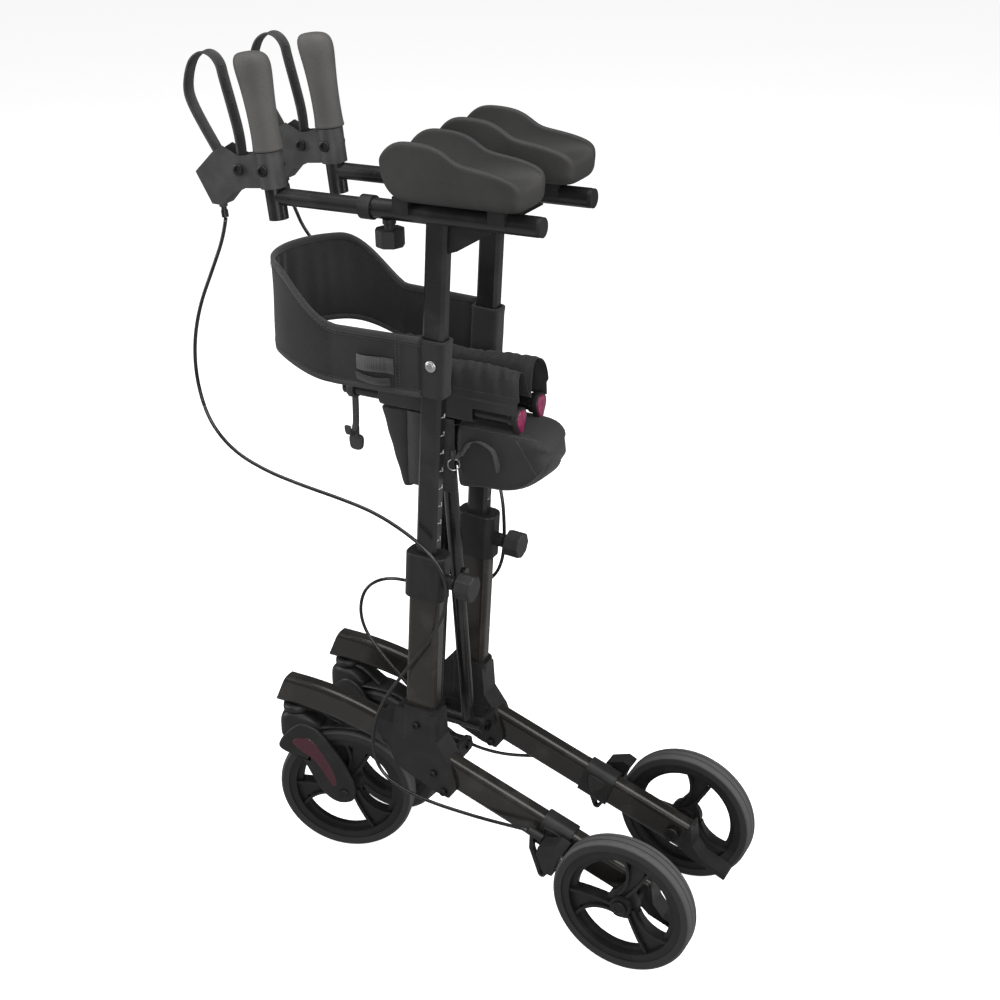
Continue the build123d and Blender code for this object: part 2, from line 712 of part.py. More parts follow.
def make_caster_fork(side):
    """The forked moulding that turns on the stem and straddles the wheel."""
    stem, centre, turn = caster_frame(side)
    plane = wheel_plane_at(centre, turn)
    t = caster_trail
    top = fork_top - wheel_radius
    outline = [(t + 20, top), (t + 26, top - 46), (t - 6, top - 58), (t - 40, -4), (11, -15), (0, -17), (-13, -11),
               (-17, 0), (-2, 54), (t - 38, top - 26), (t - 18, top)]
    with BuildPart() as fork:
        with BuildSketch(plane):
            with BuildLine():
                Polyline(*outline, close=True)
            make_face()
            fillet(vertices(), 4.0)
        extrude(amount=fork_half, both=True)
        fillet(fork.faces().filter_by(plane).edges(), 3.0)
        with BuildSketch(plane):
            Circle(wheel_radius + 5)
        extrude(amount=fork_half - fork_wall, both=True, mode=Mode.SUBTRACT)
        bar((*stem, fork_top - 42), (*stem, fork_top), 17.5)
        with BuildSketch(plane):
            Circle(wheel_radius + 5)
        extrude(amount=fork_half - fork_wall, both=True, mode=Mode.SUBTRACT)
        bar((*stem, fork_top - 43), (*stem, fork_top + 1), stem_radius + 0.1, Mode.SUBTRACT)
        with BuildSketch(plane):
            Circle(bolt_radius + 1 + fit_gap)
        extrude(amount=fork_half + 1, both=True, mode=Mode.SUBTRACT)
    return fork


def make_front_axle(side):
    """The caster wheel's axle bolt with a head at each fork leg."""
    plane = wheel_plane_at(caster_frame(side)[1], caster_frame(side)[2])
    with BuildPart() as axle:
        with BuildSketch(plane):
            Circle(bolt_radius + 1)
        extrude(amount=fork_half + 0.3, both=True)
        for near in (fork_half + 0.3, -fork_half - 3.5):
            with BuildSketch(plane.offset(near)):
                RegularPolygon(7.5, 6)
            extrude(amount=3.2)
    return axle


# ---- Brakes on the rear rail ----
clamp_middle = 120.0
clamp_length = 46.0
clamp_wall = 4.0


def rail_point(x, above=0.0):
    """A side plane point on the sloping rail, at a height across its middle line."""
    return (x - above * math.sin(slope), rail_z(x) + above * math.cos(slope))


def make_brake_clamp():
    """The moulded clamp round the rail, with a window on its inner side and the cable guard loop."""
    x, z = rail_point(clamp_middle - clamp_length / 2 * math.cos(slope))
    start = Plane(origin=(x, half_track, z), x_dir=(0, 1, 0), z_dir=(math.cos(slope), 0, math.sin(slope)))
    outer = rail_outer + clamp_wall
    guard = [(30, 8), (31, -18), (13, -68), (2, -52), (-20, -14), (-18, 6)]
    with BuildPart() as clamp:
        with BuildSketch(start):
            RectangleRounded(rail_width + 2 * clamp_wall, rail_height + 2 * clamp_wall, rail_corner + clamp_wall)
            RectangleRounded(rail_width + 2 * fit_gap, rail_height + 2 * fit_gap, rail_corner, mode=Mode.SUBTRACT)
        extrude(amount=clamp_length)
        u, v = clamp_middle, rail_z(clamp_middle)
        with BuildSketch(side_plane(half_track)):
            with Locations(Location((u, v + 4, 0), (0, 0, rail_slope))):
                SlotOverall(26, 18)
        extrude(amount=rail_width, mode=Mode.SUBTRACT)
        with BuildSketch(side_plane(outer - 1)):
            with BuildLine():
                Polyline(*[(u + a, v + b) for a, b in guard], close=True)
            make_face()
            fillet(vertices(), 6.0)
            with BuildLine():
                Polyline((u + 25, v + 2), (u + 25, v - 17), (u + 12, v - 58), (u + 4, v - 48), (u - 13, v - 13),
                         (u - 12, v + 1), close=True)
            make_face(mode=Mode.SUBTRACT)
        extrude(amount=-8)
        sx, sy, sz = cable_stop
        bar((sx + 3, sy, sz + 3 * rail_tan), (sx - 18, sy, sz - 18 * rail_tan), 6.0)
        bar((sx + 4, sy, sz + 4 * rail_tan), (sx - 19, sy, sz - 19 * rail_tan), 4.4, Mode.SUBTRACT)
        bar((shoe_pivot[0], outer - 3, shoe_pivot[1]), (shoe_pivot[0], outer + 1, shoe_pivot[1]), 7.0)
    return clamp


shoe_gap = 3.0
shoe_pivot = (118.0, rail_z(118.0) + 6.0)


def make_brake_shoe():
    """The pivoting arm and the block that presses on the rear tyre."""
    near = wheel_radius + shoe_gap
    inner = rail_outer + clamp_wall + 9.0
    axle = (0.0, wheel_radius)
    with BuildPart() as shoe:
        with BuildSketch(side_plane(wheel_plane)):
            with BuildLine():
                arc = CenterArc(axle, near, 8, 27)
                x, z = shoe_pivot
                Polyline(arc @ 1, (arc @ 1) + Vector(12, 6), (x + 5, z + 7), (x + 8, z - 6),
                         (arc @ 0) + Vector(13, 1), arc @ 0)
            make_face()
        extrude(amount=wheel_width / 2 - 2, both=True)
        bar((x, inner, z), (x, wheel_plane, z), 6.5)
        bar((x, inner - 1, z), (x, wheel_plane - 6, z), bolt_radius, Mode.SUBTRACT)
    return shoe


def make_tip_pedal():
    """The rail's rear plug with the tongue that a foot presses to lift the casters over a kerb."""
    start = Plane(origin=rail_line @ 0, x_dir=(0, 1, 0), z_dir=-(rail_line % 0))
    x, z = -rail_tail, rail_z(-rail_tail)
    tongue = [(x - 3, z + 26), (x - 10, z + 22), (x - 14, z - 8), (x - 28, z - 26), (x - 66, z - 42), (x - 64, z - 50),
              (x - 30, z - 36), (x - 8, z - 28), (x + 1, z - 20)]
    with BuildPart() as pedal:
        with BuildSketch(side_plane()):
            with BuildLine():
                Polyline(*tongue, close=True)
            make_face()
            fillet(vertices(), 2.0)
        extrude(amount=rail_width / 2 + 1, both=True)
        with BuildSketch(start.offset(-50)):
            Rectangle(rail_width * 3, rail_height * 3)
        extrude(amount=50, mode=Mode.SUBTRACT)
        with BuildSketch(start):
            RectangleRounded(rail_width + 3, rail_height + 3, rail_corner + 1)
        extrude(amount=5)
        with BuildSketch(start.offset(-9)):
            RectangleRounded(rail_width - 2 * tube_wall - 0.2, rail_height - 2 * tube_wall - 0.2,
                             rail_corner - tube_wall)
        extrude(amount=10)
    return pedal


# ---- Cross brace and seat ----
def make_cross_bar(sign):
    """One bar of the cross brace with its lower pivot tube. sign is the side of its lower end."""
    x = bar_middle_x + sign * bar_apart / 2
    low = (x, sign * pivot_half, pivot_level)
    high = (x, -sign * pivot_half, seat_level)
    tube_ends = (lug_rear + lug_thick + 0.6, lug_front - 0.6)
    with BuildPart() as brace:
        bar(low, high, bar_radius)
        bar((tube_ends[0], low[1], pivot_level), (tube_ends[1], low[1], pivot_level), bar_radius + 1)
        bar((tube_ends[0] - 1, low[1], pivot_level), (tube_ends[1] + 1, low[1], pivot_level),
            pivot_pin_radius + 0.1, Mode.SUBTRACT)
        bar((x - 20, high[1], seat_level), (x + 20, high[1], seat_level), seat_rail_radius, Mode.SUBTRACT)
        middle = (pivot_level + seat_level) / 2
        bar((x - 20, 0, middle), (x + 20, 0, middle), bolt_radius + 1.1, Mode.SUBTRACT)
    with BuildPart() as group:
        add(brace.part)
        if sign < 0:
            add(centre_bolt().part)
    return group


def centre_bolt():
    """The bolt that joins the two bars where they cross, with a washer between them."""
    middle = (pivot_level + seat_level) / 2
    reach = bar_apart / 2 + bar_radius
    with BuildPart() as bolt:
        bar((bar_middle_x - reach - 0.5, 0, middle), (bar_middle_x + reach + 0.5, 0, middle), bolt_radius + 1)
        for near, far in ((reach + 0.5, reach + 4.5), (-reach - 4.5, -reach - 0.5)):
            bar((bar_middle_x + near, 0, middle), (bar_middle_x + far, 0, middle), 7.0)
        bar((bar_middle_x - 1.5, 0, middle), (bar_middle_x + 1.5, 0, middle), 8.0)
    return bolt


def make_seat_rail(sign):
    """A seat rail with its rear end cap and its front plug. sign is the side that it lies on."""
    y = sign * pivot_half
    with BuildPart() as rail:
        bar((seat_rail_rear, y, seat_level), (seat_rail_front, y, seat_level), seat_rail_radius)
        bar((seat_rail_rear - 1, y, seat_level), (seat_rail_front + 1, y, seat_level),
            seat_rail_radius - arm_wall, Mode.SUBTRACT)
    with BuildPart() as rear_cap:
        bar((seat_rail_rear - 13, y, seat_level), (seat_rail_rear, y, seat_level), seat_cap_radius)
        fillet(rear_cap.edges(), 2.0)
        bar((seat_rail_rear, y, seat_level), (seat_rail_rear + 12, y, seat_level),
            seat_rail_radius - arm_wall - 0.05)
    with BuildPart() as front_cap:
        bar((seat_rail_front, y, seat_level), (seat_rail_front + 4, y, seat_level), seat_rail_radius)
        bar((seat_rail_front - 12, y, seat_level), (seat_rail_front, y, seat_level),
            seat_rail_radius - arm_wall - 0.05)
    with BuildPart() as group:
        add([rail.part, rear_cap.part, front_cap.part])
    return group


sling_rear = 200.0
sling_front = 400.0
sling_rise = 64.0


def make_seat_sling():
    """The seat fabric, folded up between the rails into two humps with a valley."""
    base = seat_level + seat_cap_radius + 0.5
    top = seat_level + sling_rise
    edge = pivot_half + seat_rail_radius + 2.0
    half = [(3, base + 2), (9, top - 16), (pivot_half - 10, top - 3), (pivot_half, top), (edge - 2, top - 12),
            (edge, base + 8), (edge - 4, base)]
    outline = half + [(-y, z) for y, z in reversed(half)]
    with BuildPart() as sling:
        with BuildSketch(Plane.YZ.offset(sling_rear)):
            with BuildLine():
                Polyline(*outline, close=True)
            make_face()
        extrude(amount=sling_front - sling_rear)
    return sling


bag_half = 42.0
bag_skin = 3.0


def make_under_seat_bag():
    """The bag under the seat rails, open in the middle where the cross bars pass."""
    top = seat_level - seat_cap_radius - 0.7
    outline = [(404, top), (366, top - 125), (270, top - 116), (176, top - 98), (160, top - 80), (190, top)]
    with BuildPart() as bag:
        with BuildSketch(side_plane(0)):
            with BuildLine():
                Polyline(*outline, close=True)
            make_face()
            fillet(vertices().group_by(Axis.Z)[0] + vertices().sort_by(Axis.X)[:1], 10.0)
        extrude(amount=bag_half, both=True)
        with BuildSketch(Plane.XY.offset(top - 200)):
            with Locations((bar_middle_x, 0)):
                Rectangle(bar_apart + 2 * bar_radius + 10, 2 * (bag_half - bag_skin))
        extrude(amount=300, mode=Mode.SUBTRACT)
    return bag


belt_thick = 5.0
belt_low = 760.0
belt_apex = 565.0
belt_side = 92.0
belt_straight = 440.0


def make_backrest_belt():
    """The padded belt: a sleeve round each post and a band that bows forward between them."""
    x = post_point((belt_low + 40 - cross_z) / math.cos(lean))[0]
    skin = belt_thick - 2
    sleeve_y = half_track + inner_width / 2 + 0.8 + belt_thick / 2
    profile = [(x - 60, belt_low), (x + 140, belt_low + 4), (belt_apex + 20, belt_low + 26),
               (belt_apex + 20, belt_low + 142), (belt_apex - 80, belt_low + 142), (x + 120, belt_low + 118),
               (x + 50, belt_low + 84), (x - 60, belt_low + 75)]
    with BuildPart() as belt:
        with BuildSketch(Plane.XY.offset(belt_low - 20)):
            with BuildLine():
                Line((x, sleeve_y), (belt_straight, belt_side))
                ThreePointArc((belt_straight, belt_side), (belt_apex, 0), (belt_straight, -belt_side))
                Line((belt_straight, -belt_side), (x, -sleeve_y))
            trace(line_width=belt_thick)
        extrude(amount=200)
        for sign in (-1, 1):
            with BuildSketch(post_plane((belt_low - 30 - cross_z) / math.cos(lean), sign * half_track)):
                RectangleRounded(inner_length + 2 * skin + 2, inner_width + 1.6 + 2 * belt_thick, 5)
            extrude(amount=200)
        for sign in (-1, 1):
            with BuildSketch(post_plane((belt_low - 40 - cross_z) / math.cos(lean), sign * half_track)):
                Rectangle(inner_length + 1.6, inner_width + 1.6)
                chamfer(vertices(), inner_chamfer)
            extrude(amount=240, mode=Mode.SUBTRACT)
        with BuildSketch(side_plane(0)):
            with BuildLine():
                Polyline(*profile, close=True)
            make_face()
        extrude(amount=belt_side + 40, both=True, mode=Mode.INTERSECT)
    return belt


hook_x = 447.0


def make_fold_hook():
    """The hook that hangs on the left seat rail and catches the other rail to keep the walker folded."""
    y, z = pivot_half, seat_level
    ring = seat_rail_radius + 4
    strap = [(y - 4, z - ring + 2), (y + 4, z - ring + 2), (y + 4, z - 58), (y + 10, z - 58), (y + 13, z - 50),
             (y + 18, z - 50), (y + 15, z - 64), (y + 5, z - 68), (y + 7, z - 90), (y - 8, z - 92), (y - 4, z - 62)]
    with BuildPart() as hook:
        with BuildSketch(Plane.YZ.offset(hook_x - 5)):
            with Locations((y, z)):
                Circle(ring)
            with BuildLine():
                Polyline(*strap, close=True)
            make_face()
            with Locations((y, z)):
                Circle(seat_rail_radius + 0.4, mode=Mode.SUBTRACT)
        extrude(amount=10)
    return hook


# ---- Brake cables ----
left_route = [(610, 74, 925), (626, 82, 880), (644, 92, 830),
              (652, 100, 778), (649, 104, 724), (632, 106, 672), (596, 106, 636), (546, 105, 617), (490, 104, 607),
              (432, 103, 600), (378, 101, 590), (330, 98, 568), (297, 94, 543), (277, 90, 506), (279, 90, 463),
              (298, 94, 420), (324, 98, 380), (352, 99, 338), (378, 99, 296), (394, 99, 252), (396, 99, 212),
              (384, 99, 180), (352, 98, 160), (306, 97, 152), (256, 96, 150), (206, 96, 151)]
right_route = [(600, -75, 930), (592, -84, 896), (572, -98, 862),
               (536, -109, 826), (492, -114, 786), (446, -115, 744), (400, -113, 700), (354, -110, 656),
               (316, -104, 608), (292, -97, 558), (283, -88, 506), (286, -90, 456), (304, -98, 418),
               (338, -102, 394), (380, -92, 384), (420, -74, 392), (456, -54, 402), (484, -40, 388),
               (494, -34, 354), (486, -32, 318), (458, -33, 284), (426, -36, 250), (398, -42, 214),
               (368, -50, 178),
               (326, -56, 152), (278, -68, 142), (232, -86, 142), (190, -95, 151)]


def cable_radii(points):
    """The largest arc that each corner's two runs allow."""
    radii = []
    for before, here, after in zip(points, points[1:], points[2:]):
        first, second = Vector(*here) - Vector(*before), Vector(*after) - Vector(*here)
        half_turn = math.radians(first.get_angle(second)) / 2
        radii.append(0.45 * min(first.length, second.length) / math.tan(half_turn))
    return radii


def make_brake_cable(points, side):
    """The sheathed cable from the handle to the brake: straight runs joined by wide arcs."""
    sign = 1 if side == "left" else -1
    x, y, z = cable_stop
    start = solid_point(grip_point(-29.4, 84), sign * half_track)
    ends = [start] + points + [(x + 1.4, sign * y, z + 1.4 * rail_tan)]
    radii = cable_radii(ends)
    print(side, "cable radii", [round(r) for r in radii])
    with BuildLine() as route:
        FilletPolyline(*ends, radius=radii)
    path = route.wire()
    with BuildPart() as cable:
        with BuildSketch(Plane(origin=path @ 0, z_dir=path % 0)):
            Circle(cable_radius)
        sweep(path=path)
    length = path.length
    print(side, "cable length", round(length), "volume ratio",
          round(cable.part.volume / (math.pi * cable_radius ** 2 * length), 4))
    return cable


# ---- All pieces, in the drawing frame ----
def make_pieces():
    twins = {
        "rail": make_rail(), "outer_post": make_outer_post(), "frame_joint": make_frame_joint(),
        "height_collar": make_height_collar(), "height_knob": make_height_knob(),
        "inner_post": make_inner_post(), "arm_tube": make_arm_tube(), "arm_fittings": make_arm_fittings(),
        "arm_pad": make_arm_pad(), "arm_knob": make_arm_knob(), "handle_tube": make_handle_tube(),
        "grip": make_grip(), "brake_housing": make_brake_housing(), "housing_bolts": make_housing_bolts(),
        "brake_lever": make_brake_lever(), "brake_clamp": make_brake_clamp(), "brake_shoe": make_brake_shoe(),
        "tip_pedal": make_tip_pedal(),
    }
    rear_plane = wheel_plane_at((0, wheel_plane, wheel_radius), 0)
    twins["rear_tyre"] = make_tyre(rear_plane)
    twins["rear_rim"] = make_rim(rear_plane, axle_radius + 0.08)
    pieces = {}
    for name, piece in twins.items():
        pieces["left_" + name] = piece
        pieces["right_" + name] = mirrored(piece)
    for side in ("left", "right"):
        hardware = make_frame_hardware(side)
        pieces[side + "_frame_hardware"] = hardware if side == "left" else mirrored(hardware)
        plane = wheel_plane_at(*caster_frame(side)[1:])
        pieces[side + "_caster_fork"] = make_caster_fork(side)
        pieces[side + "_front_tyre"] = make_tyre(plane)
        pieces[side + "_front_rim"] = make_rim(plane, bolt_radius + 1.08)
        pieces[side + "_front_axle"] = make_front_axle(side)
    pieces["left_brake_cable"] = make_brake_cable(left_route, "left")
    pieces["right_brake_cable"] = make_brake_cable(right_route, "right")
    pieces["cross_bar_a"] = make_cross_bar(1)
    pieces["cross_bar_b"] = make_cross_bar(-1)
    pieces["seat_rail_a"] = make_seat_rail(-1)
    pieces["seat_rail_b"] = make_seat_rail(1)
    pieces["seat_sling"] = make_seat_sling()
    pieces["under_seat_bag"] = make_under_seat_bag()
    pieces["backrest_belt"] = make_backrest_belt()
    pieces["fold_hook"] = make_fold_hook()
    return pieces


pieces = make_pieces()
boxes = [piece.part.bounding_box() for name, piece in pieces.items() if "cable" not in name]
middle_x = (min(box.min.X for box in boxes) + max(box.max.X for box in boxes)) / 2
os.makedirs("parts", exist_ok=True)
for name, piece in pieces.items():
    part = piece.part.moved(Location((-middle_x, 0, 0)))
    part.label = name
    export_step(part, f"parts/{name}.step")
print("pieces", len(pieces), "drawing frame moved back by", round(middle_x, 3))
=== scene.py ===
# %% [markdown]
# # A folding upright walker
# This notebook dresses a walker that was designed elsewhere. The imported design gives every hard
# part in its place. Here the soft parts, the cables, the small trim and all the finishes are made.

import math

import bmesh
import bpy
from mathutils import Matrix, Vector


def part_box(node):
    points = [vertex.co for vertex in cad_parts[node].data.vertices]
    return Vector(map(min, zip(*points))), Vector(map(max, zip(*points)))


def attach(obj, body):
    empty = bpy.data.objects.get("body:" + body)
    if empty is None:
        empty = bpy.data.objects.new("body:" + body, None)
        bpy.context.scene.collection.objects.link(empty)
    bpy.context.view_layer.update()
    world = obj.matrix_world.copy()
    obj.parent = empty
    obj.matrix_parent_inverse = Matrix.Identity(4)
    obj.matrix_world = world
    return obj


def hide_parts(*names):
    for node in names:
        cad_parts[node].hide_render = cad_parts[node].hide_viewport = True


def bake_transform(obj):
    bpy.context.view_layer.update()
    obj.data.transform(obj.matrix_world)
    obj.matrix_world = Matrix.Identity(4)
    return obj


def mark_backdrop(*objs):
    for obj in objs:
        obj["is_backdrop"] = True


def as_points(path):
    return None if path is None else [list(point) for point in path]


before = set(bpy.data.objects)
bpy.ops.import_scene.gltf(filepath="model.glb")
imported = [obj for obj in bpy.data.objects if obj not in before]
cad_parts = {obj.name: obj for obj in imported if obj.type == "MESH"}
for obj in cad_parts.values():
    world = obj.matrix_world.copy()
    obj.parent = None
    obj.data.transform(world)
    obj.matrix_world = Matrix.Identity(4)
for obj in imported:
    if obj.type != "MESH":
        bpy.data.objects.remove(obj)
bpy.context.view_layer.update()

# %% [markdown]
# ## Where things are
# Some places, such as the rear axle and the wheel's size, are worked out from the design's boxes; most are given
# as numbers. The rear axle is the natural zero for this
# walker: a point is given as forward of the axle, to the walker's left, and above the floor.

# %% Places
tyre_low, tyre_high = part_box("left_rear_tyre")
wheel_radius = (tyre_high.z - tyre_low.z) / 2
axle_x = (tyre_low.x + tyre_high.x) / 2
post_lean = math.radians(3.06)
arm_fall = math.radians(1.36)
grip_lean = math.radians(7.0)
rail_slope = math.radians(19.0)
half_track = 0.0713
sides = {"left": 1, "right": -1}


def at(x, y, z):
    """A point from the rear axle line, in metres."""
    return Vector((axle_x + x, y, z))


def post_at(z, ahead=0.0, side=1):
    """A point on a post's middle line at a height, moved forward across the post."""
    x = 0.3165 - math.tan(post_lean) * (z - 0.5)
    return at(x + ahead * math.cos(post_lean), side * half_track, z + ahead * math.sin(post_lean))


print("rear axle at x", round(axle_x, 4), "wheel radius", round(wheel_radius, 4))

# %% [markdown]
# ## Mesh helpers
# Most pieces here are lofts: closed rings of points, one after the other, joined by quads.
# A helper makes the mesh, and another one bakes its modifiers, so that what rides on a body is
# a plain mesh with its place in its points.

# %% Mesh helpers
def link(piece):
    """Puts an object in the scene."""
    bpy.context.scene.collection.objects.link(piece)


def shade(mesh, smooth):
    """Smooth or flat shading on every face."""
    for polygon in mesh.polygons:
        polygon.use_smooth = smooth


def swell(value, power):
    """A sine or cosine raised to a power, with its sign kept, which squares off a round ring."""
    return math.copysign(abs(value) ** power, value)


def between(a, b, c, d, t):
    """The Catmull-Rom rule: from b to c as t goes from 0 to 1, with a before them and d after."""
    return 0.5 * (2 * b + (c - a) * t + (2 * a - 5 * b + 4 * c - d) * t * t
                  + (3 * b - a - 3 * c + d) * t ** 3)


def square_to(axis):
    """A unit axis and two directions at right angles to it."""
    axis = axis.normalized()
    side = axis.cross(Vector((1, 0, 0)) if abs(axis.x) < 0.9 else Vector((0, 1, 0))).normalized()
    return axis, side, axis.cross(side)


def finished_mesh(piece):
    """A new mesh of an object as its modifiers leave it."""
    bpy.context.view_layer.update()
    graph = bpy.context.evaluated_depsgraph_get()
    return bpy.data.meshes.new_from_object(piece.evaluated_get(graph), depsgraph=graph)


def mesh_piece(name, points, faces, smooth=True):
    """An object with its place in its mesh."""
    mesh = bpy.data.meshes.new(name)
    mesh.from_pydata([tuple(p) for p in points], [], faces)
    build = bmesh.new()
    build.from_mesh(mesh)
    bmesh.ops.remove_doubles(build, verts=build.verts, dist=1e-6)
    bmesh.ops.recalc_face_normals(build, faces=build.faces)
    build.to_mesh(mesh)
    build.free()
    piece = bpy.data.objects.new(name, mesh)
    link(piece)
    shade(mesh, smooth)
    return piece


def bake(piece):
    """Replaces a piece's mesh by the result of its modifiers, and takes the modifiers away."""
    result = finished_mesh(piece)
    result.name = piece.name
    piece.modifiers.clear()
    piece.data = result
    return piece


def soften(piece, levels=2):
    """Rounds a piece by subdivision, then bakes it."""
    divide = piece.modifiers.new("divide", "SUBSURF")
    divide.levels = levels
    divide.render_levels = levels
    return bake(piece)


def smooth_plate(piece, width=0.0006, segments=3):
    """Rounded edges on a part with flat faces."""
    shade(piece.data, False)
    rounded = piece.modifiers.new("rounded", "BEVEL")
    rounded.width = width
    rounded.segments = segments
    rounded.limit_method = "ANGLE"
    bake(piece)
    shade(piece.data, True)
    return piece


def loft(name, rings, cap=True):
    """Joins rings of equal length, with a flat cap at each end unless told otherwise."""
    count = len(rings[0])
    points = [p for ring in rings for p in ring]
    faces = []
    for row in range(len(rings) - 1):
        for k in range(count):
            a = row * count + k
            b = row * count + (k + 1) % count
            faces.append((a, b, b + count, a + count))
    if cap:
        faces.append(tuple(range(count)))
        faces.append(tuple(range(len(points) - count, len(points))))
    return mesh_piece(name, points, faces)


def extruded(name, outline, plane, thickness):
    """A flat outline given a thickness. plane maps (u, v, w) to a point in space."""
    count = len(outline)
    low = [plane(u, v, 0.0) for u, v in outline]
    high = [plane(u, v, thickness) for u, v in outline]
    faces = [tuple(range(count)), tuple(range(2 * count - 1, count - 1, -1))]
    faces += [(k, (k + 1) % count, count + (k + 1) % count, count + k) for k in range(count)]
    return mesh_piece(name, low + high, faces, smooth=False)


def join(name, pieces):
    """Several meshes as one piece, with their materials kept."""
    build = bmesh.new()
    materials = []
    for piece in pieces:
        start = len(build.faces)
        build.from_mesh(piece.data)
        build.faces.ensure_lookup_table()
        names = [m for m in piece.data.materials] or [None]
        for face in build.faces[start:]:
            material = names[min(face.material_index, len(names) - 1)]
            if material not in materials:
                materials.append(material)
            face.material_index = materials.index(material)
    mesh = bpy.data.meshes.new(name)
    build.to_mesh(mesh)
    build.free()
    for material in materials:
        mesh.materials.append(material)
    for piece in pieces:
        bpy.data.objects.remove(piece)
    joined = bpy.data.objects.new(name, mesh)
    link(joined)
    return joined


# %% [markdown]
# ## Writing shader maths as sums
# A finish is a network of nodes. It reads better as arithmetic, so `Wire` wraps an output socket
# and turns +, -, * and / into Math nodes. `Finish` owns the material and makes every other node.

# %% Shader maths
class Wire:
    """An output socket that can be used in sums."""

    def __init__(self, finish, socket):
        self.finish = finish
        self.socket = socket

    def math(self, operation, left, right=0.0):
        return self.finish.node("ShaderNodeMath", {"operation": operation}, {0: left, 1: right})

    def __add__(self, other):
        return self.math("ADD", self, other)

    def __radd__(self, other):
        return self.math("ADD", other, self)

    def __sub__(self, other):
        return self.math("SUBTRACT", self, other)

    def __rsub__(self, other):
        return self.math("SUBTRACT", other, self)

    def __mul__(self, other):
        return self.math("MULTIPLY", self, other)

    def __rmul__(self, other):
        return self.math("MULTIPLY", other, self)

    def __truediv__(self, other):
        return self.math("DIVIDE", self, other)

    def __pow__(self, other):
        return self.math("POWER", self, other)

    def sine(self):
        return self.math("SINE", self)

    def size(self):
        return self.math("ABSOLUTE", self)

    def above(self, level, soft):
        """0 below level, 1 above it, with a soft step."""
        settings = {"interpolation_type": "SMOOTHSTEP"}
        sockets = {"Value": self, 1: level - soft, 2: level + soft}
        return self.finish.node("ShaderNodeMapRange", settings, sockets)


class Finish:
    """A material that ends in one Principled shader."""

    def __init__(self, name):
        self.material = bpy.data.materials.new(name)
        self.material.use_nodes = True
        self.tree = self.material.node_tree
        self.tree.nodes.clear()
        end = self.tree.nodes.new("ShaderNodeOutputMaterial")
        self.shader = self.tree.nodes.new("ShaderNodeBsdfPrincipled")
        self.tree.links.new(self.shader.outputs[0], end.inputs[0])

    def node(self, kind, settings=None, sockets=None, out=0):
        """Makes a node: its settings first, then the values or wires of its sockets."""
        made = self.tree.nodes.new(kind)
        for key, value in (settings or {}).items():
            setattr(made, key, value)
        for key, value in (sockets or {}).items():
            self.feed(made.inputs[key], value)
        return Wire(self, made.outputs[out])

    def feed(self, socket, value):
        if isinstance(value, Wire):
            self.tree.links.new(value.socket, socket)
        else:
            socket.default_value = value

    def set(self, **values):
        """Sets the shader's own sockets. Underscores stand for spaces."""
        for key, value in values.items():
            self.feed(self.shader.inputs[key.replace("_", " ")], value)

    def place(self):
        """Object coordinates, in metres."""
        return self.node("ShaderNodeTexCoord", out="Object")

    def noise(self, scale, detail=3.0, where=None, rough=0.5):
        where = where or self.place()
        sockets = {"Vector": where, "Scale": scale, "Detail": detail, "Roughness": rough}
        return self.node("ShaderNodeTexNoise", {}, sockets)

    def cells(self, scale, where=None, feature="F1"):
        where = where or self.place()
        return self.node("ShaderNodeTexVoronoi", {"feature": feature}, {"Vector": where, "Scale": scale})

    def mix(self, amount, first, second):
        """A colour between two colours."""
        sockets = {"Factor": amount, 6: first, 7: second}
        return self.node("ShaderNodeMix", {"data_type": "RGBA"}, sockets, out=2)

    def bump(self, height, depth, strength=1.0):
        return self.node("ShaderNodeBump", {}, {"Height": height, "Distance": depth, "Strength": strength})


def grey(level, warm=0.0):
    return (level * (1 + warm), level, level * (1 - warm), 1.0)


print("shader helpers ready")

# %% [markdown]
# ## Paint and metal
# The frame is gloss black powder coat. Powder coat is never a mirror: it flows into a faint
# orange peel, and dust dulls it in places. Both come from noise, one fine for the bump and one
# coarse for the roughness.

# %% Paint and metal
def black_paint(name, level, gloss, warm=0.0):
    """Powder coat with an orange peel surface."""
    finish = Finish(name)
    dust = finish.noise(22.0, 4.0)
    peel = finish.noise(420.0, 2.0)
    finish.set(Base_Color=finish.mix(dust.above(0.62, 0.14), grey(level, warm), grey(level * 2.1, warm)))
    finish.set(Roughness=dust * 0.16 + (gloss - 0.08), Coat_Weight=0.18, Coat_Roughness=0.14)
    finish.set(Specular_IOR_Level=0.36)
    finish.set(Normal=finish.bump(peel, 0.00012, 0.45))
    return finish.material


def plated_steel(name, level, rough=0.3):
    """Zinc plated steel, with a fine turned grain."""
    finish = Finish(name)
    grain = finish.noise(900.0, 4.0)
    stain = finish.noise(60.0, 3.0)
    finish.set(Metallic=1.0, Roughness=grain * 0.2 + rough - 0.05)
    finish.set(Base_Color=finish.mix(stain.above(0.55, 0.2), grey(level), grey(level * 0.72)))
    finish.set(Normal=finish.bump(grain, 0.00005, 0.5))
    return finish.material


frame_paint = black_paint("gloss frame paint", 0.011, 0.26, warm=0.12)
post_paint = black_paint("satin post paint", 0.009, 0.30)
brace_paint = black_paint("gloss brace paint", 0.008, 0.24)
steel = plated_steel("plated steel", 0.55)
dark_steel = plated_steel("blackened steel", 0.045, 0.36)
print("metal finishes", 5)

# %% [markdown]
# ## Plastics and rubber
# Moulded nylon has a fine spark-eroded grain, which catches light as tiny cells. Foam pads and
# the grips are softer: the grain is larger and rounder and the surface is a dusty dark grey.

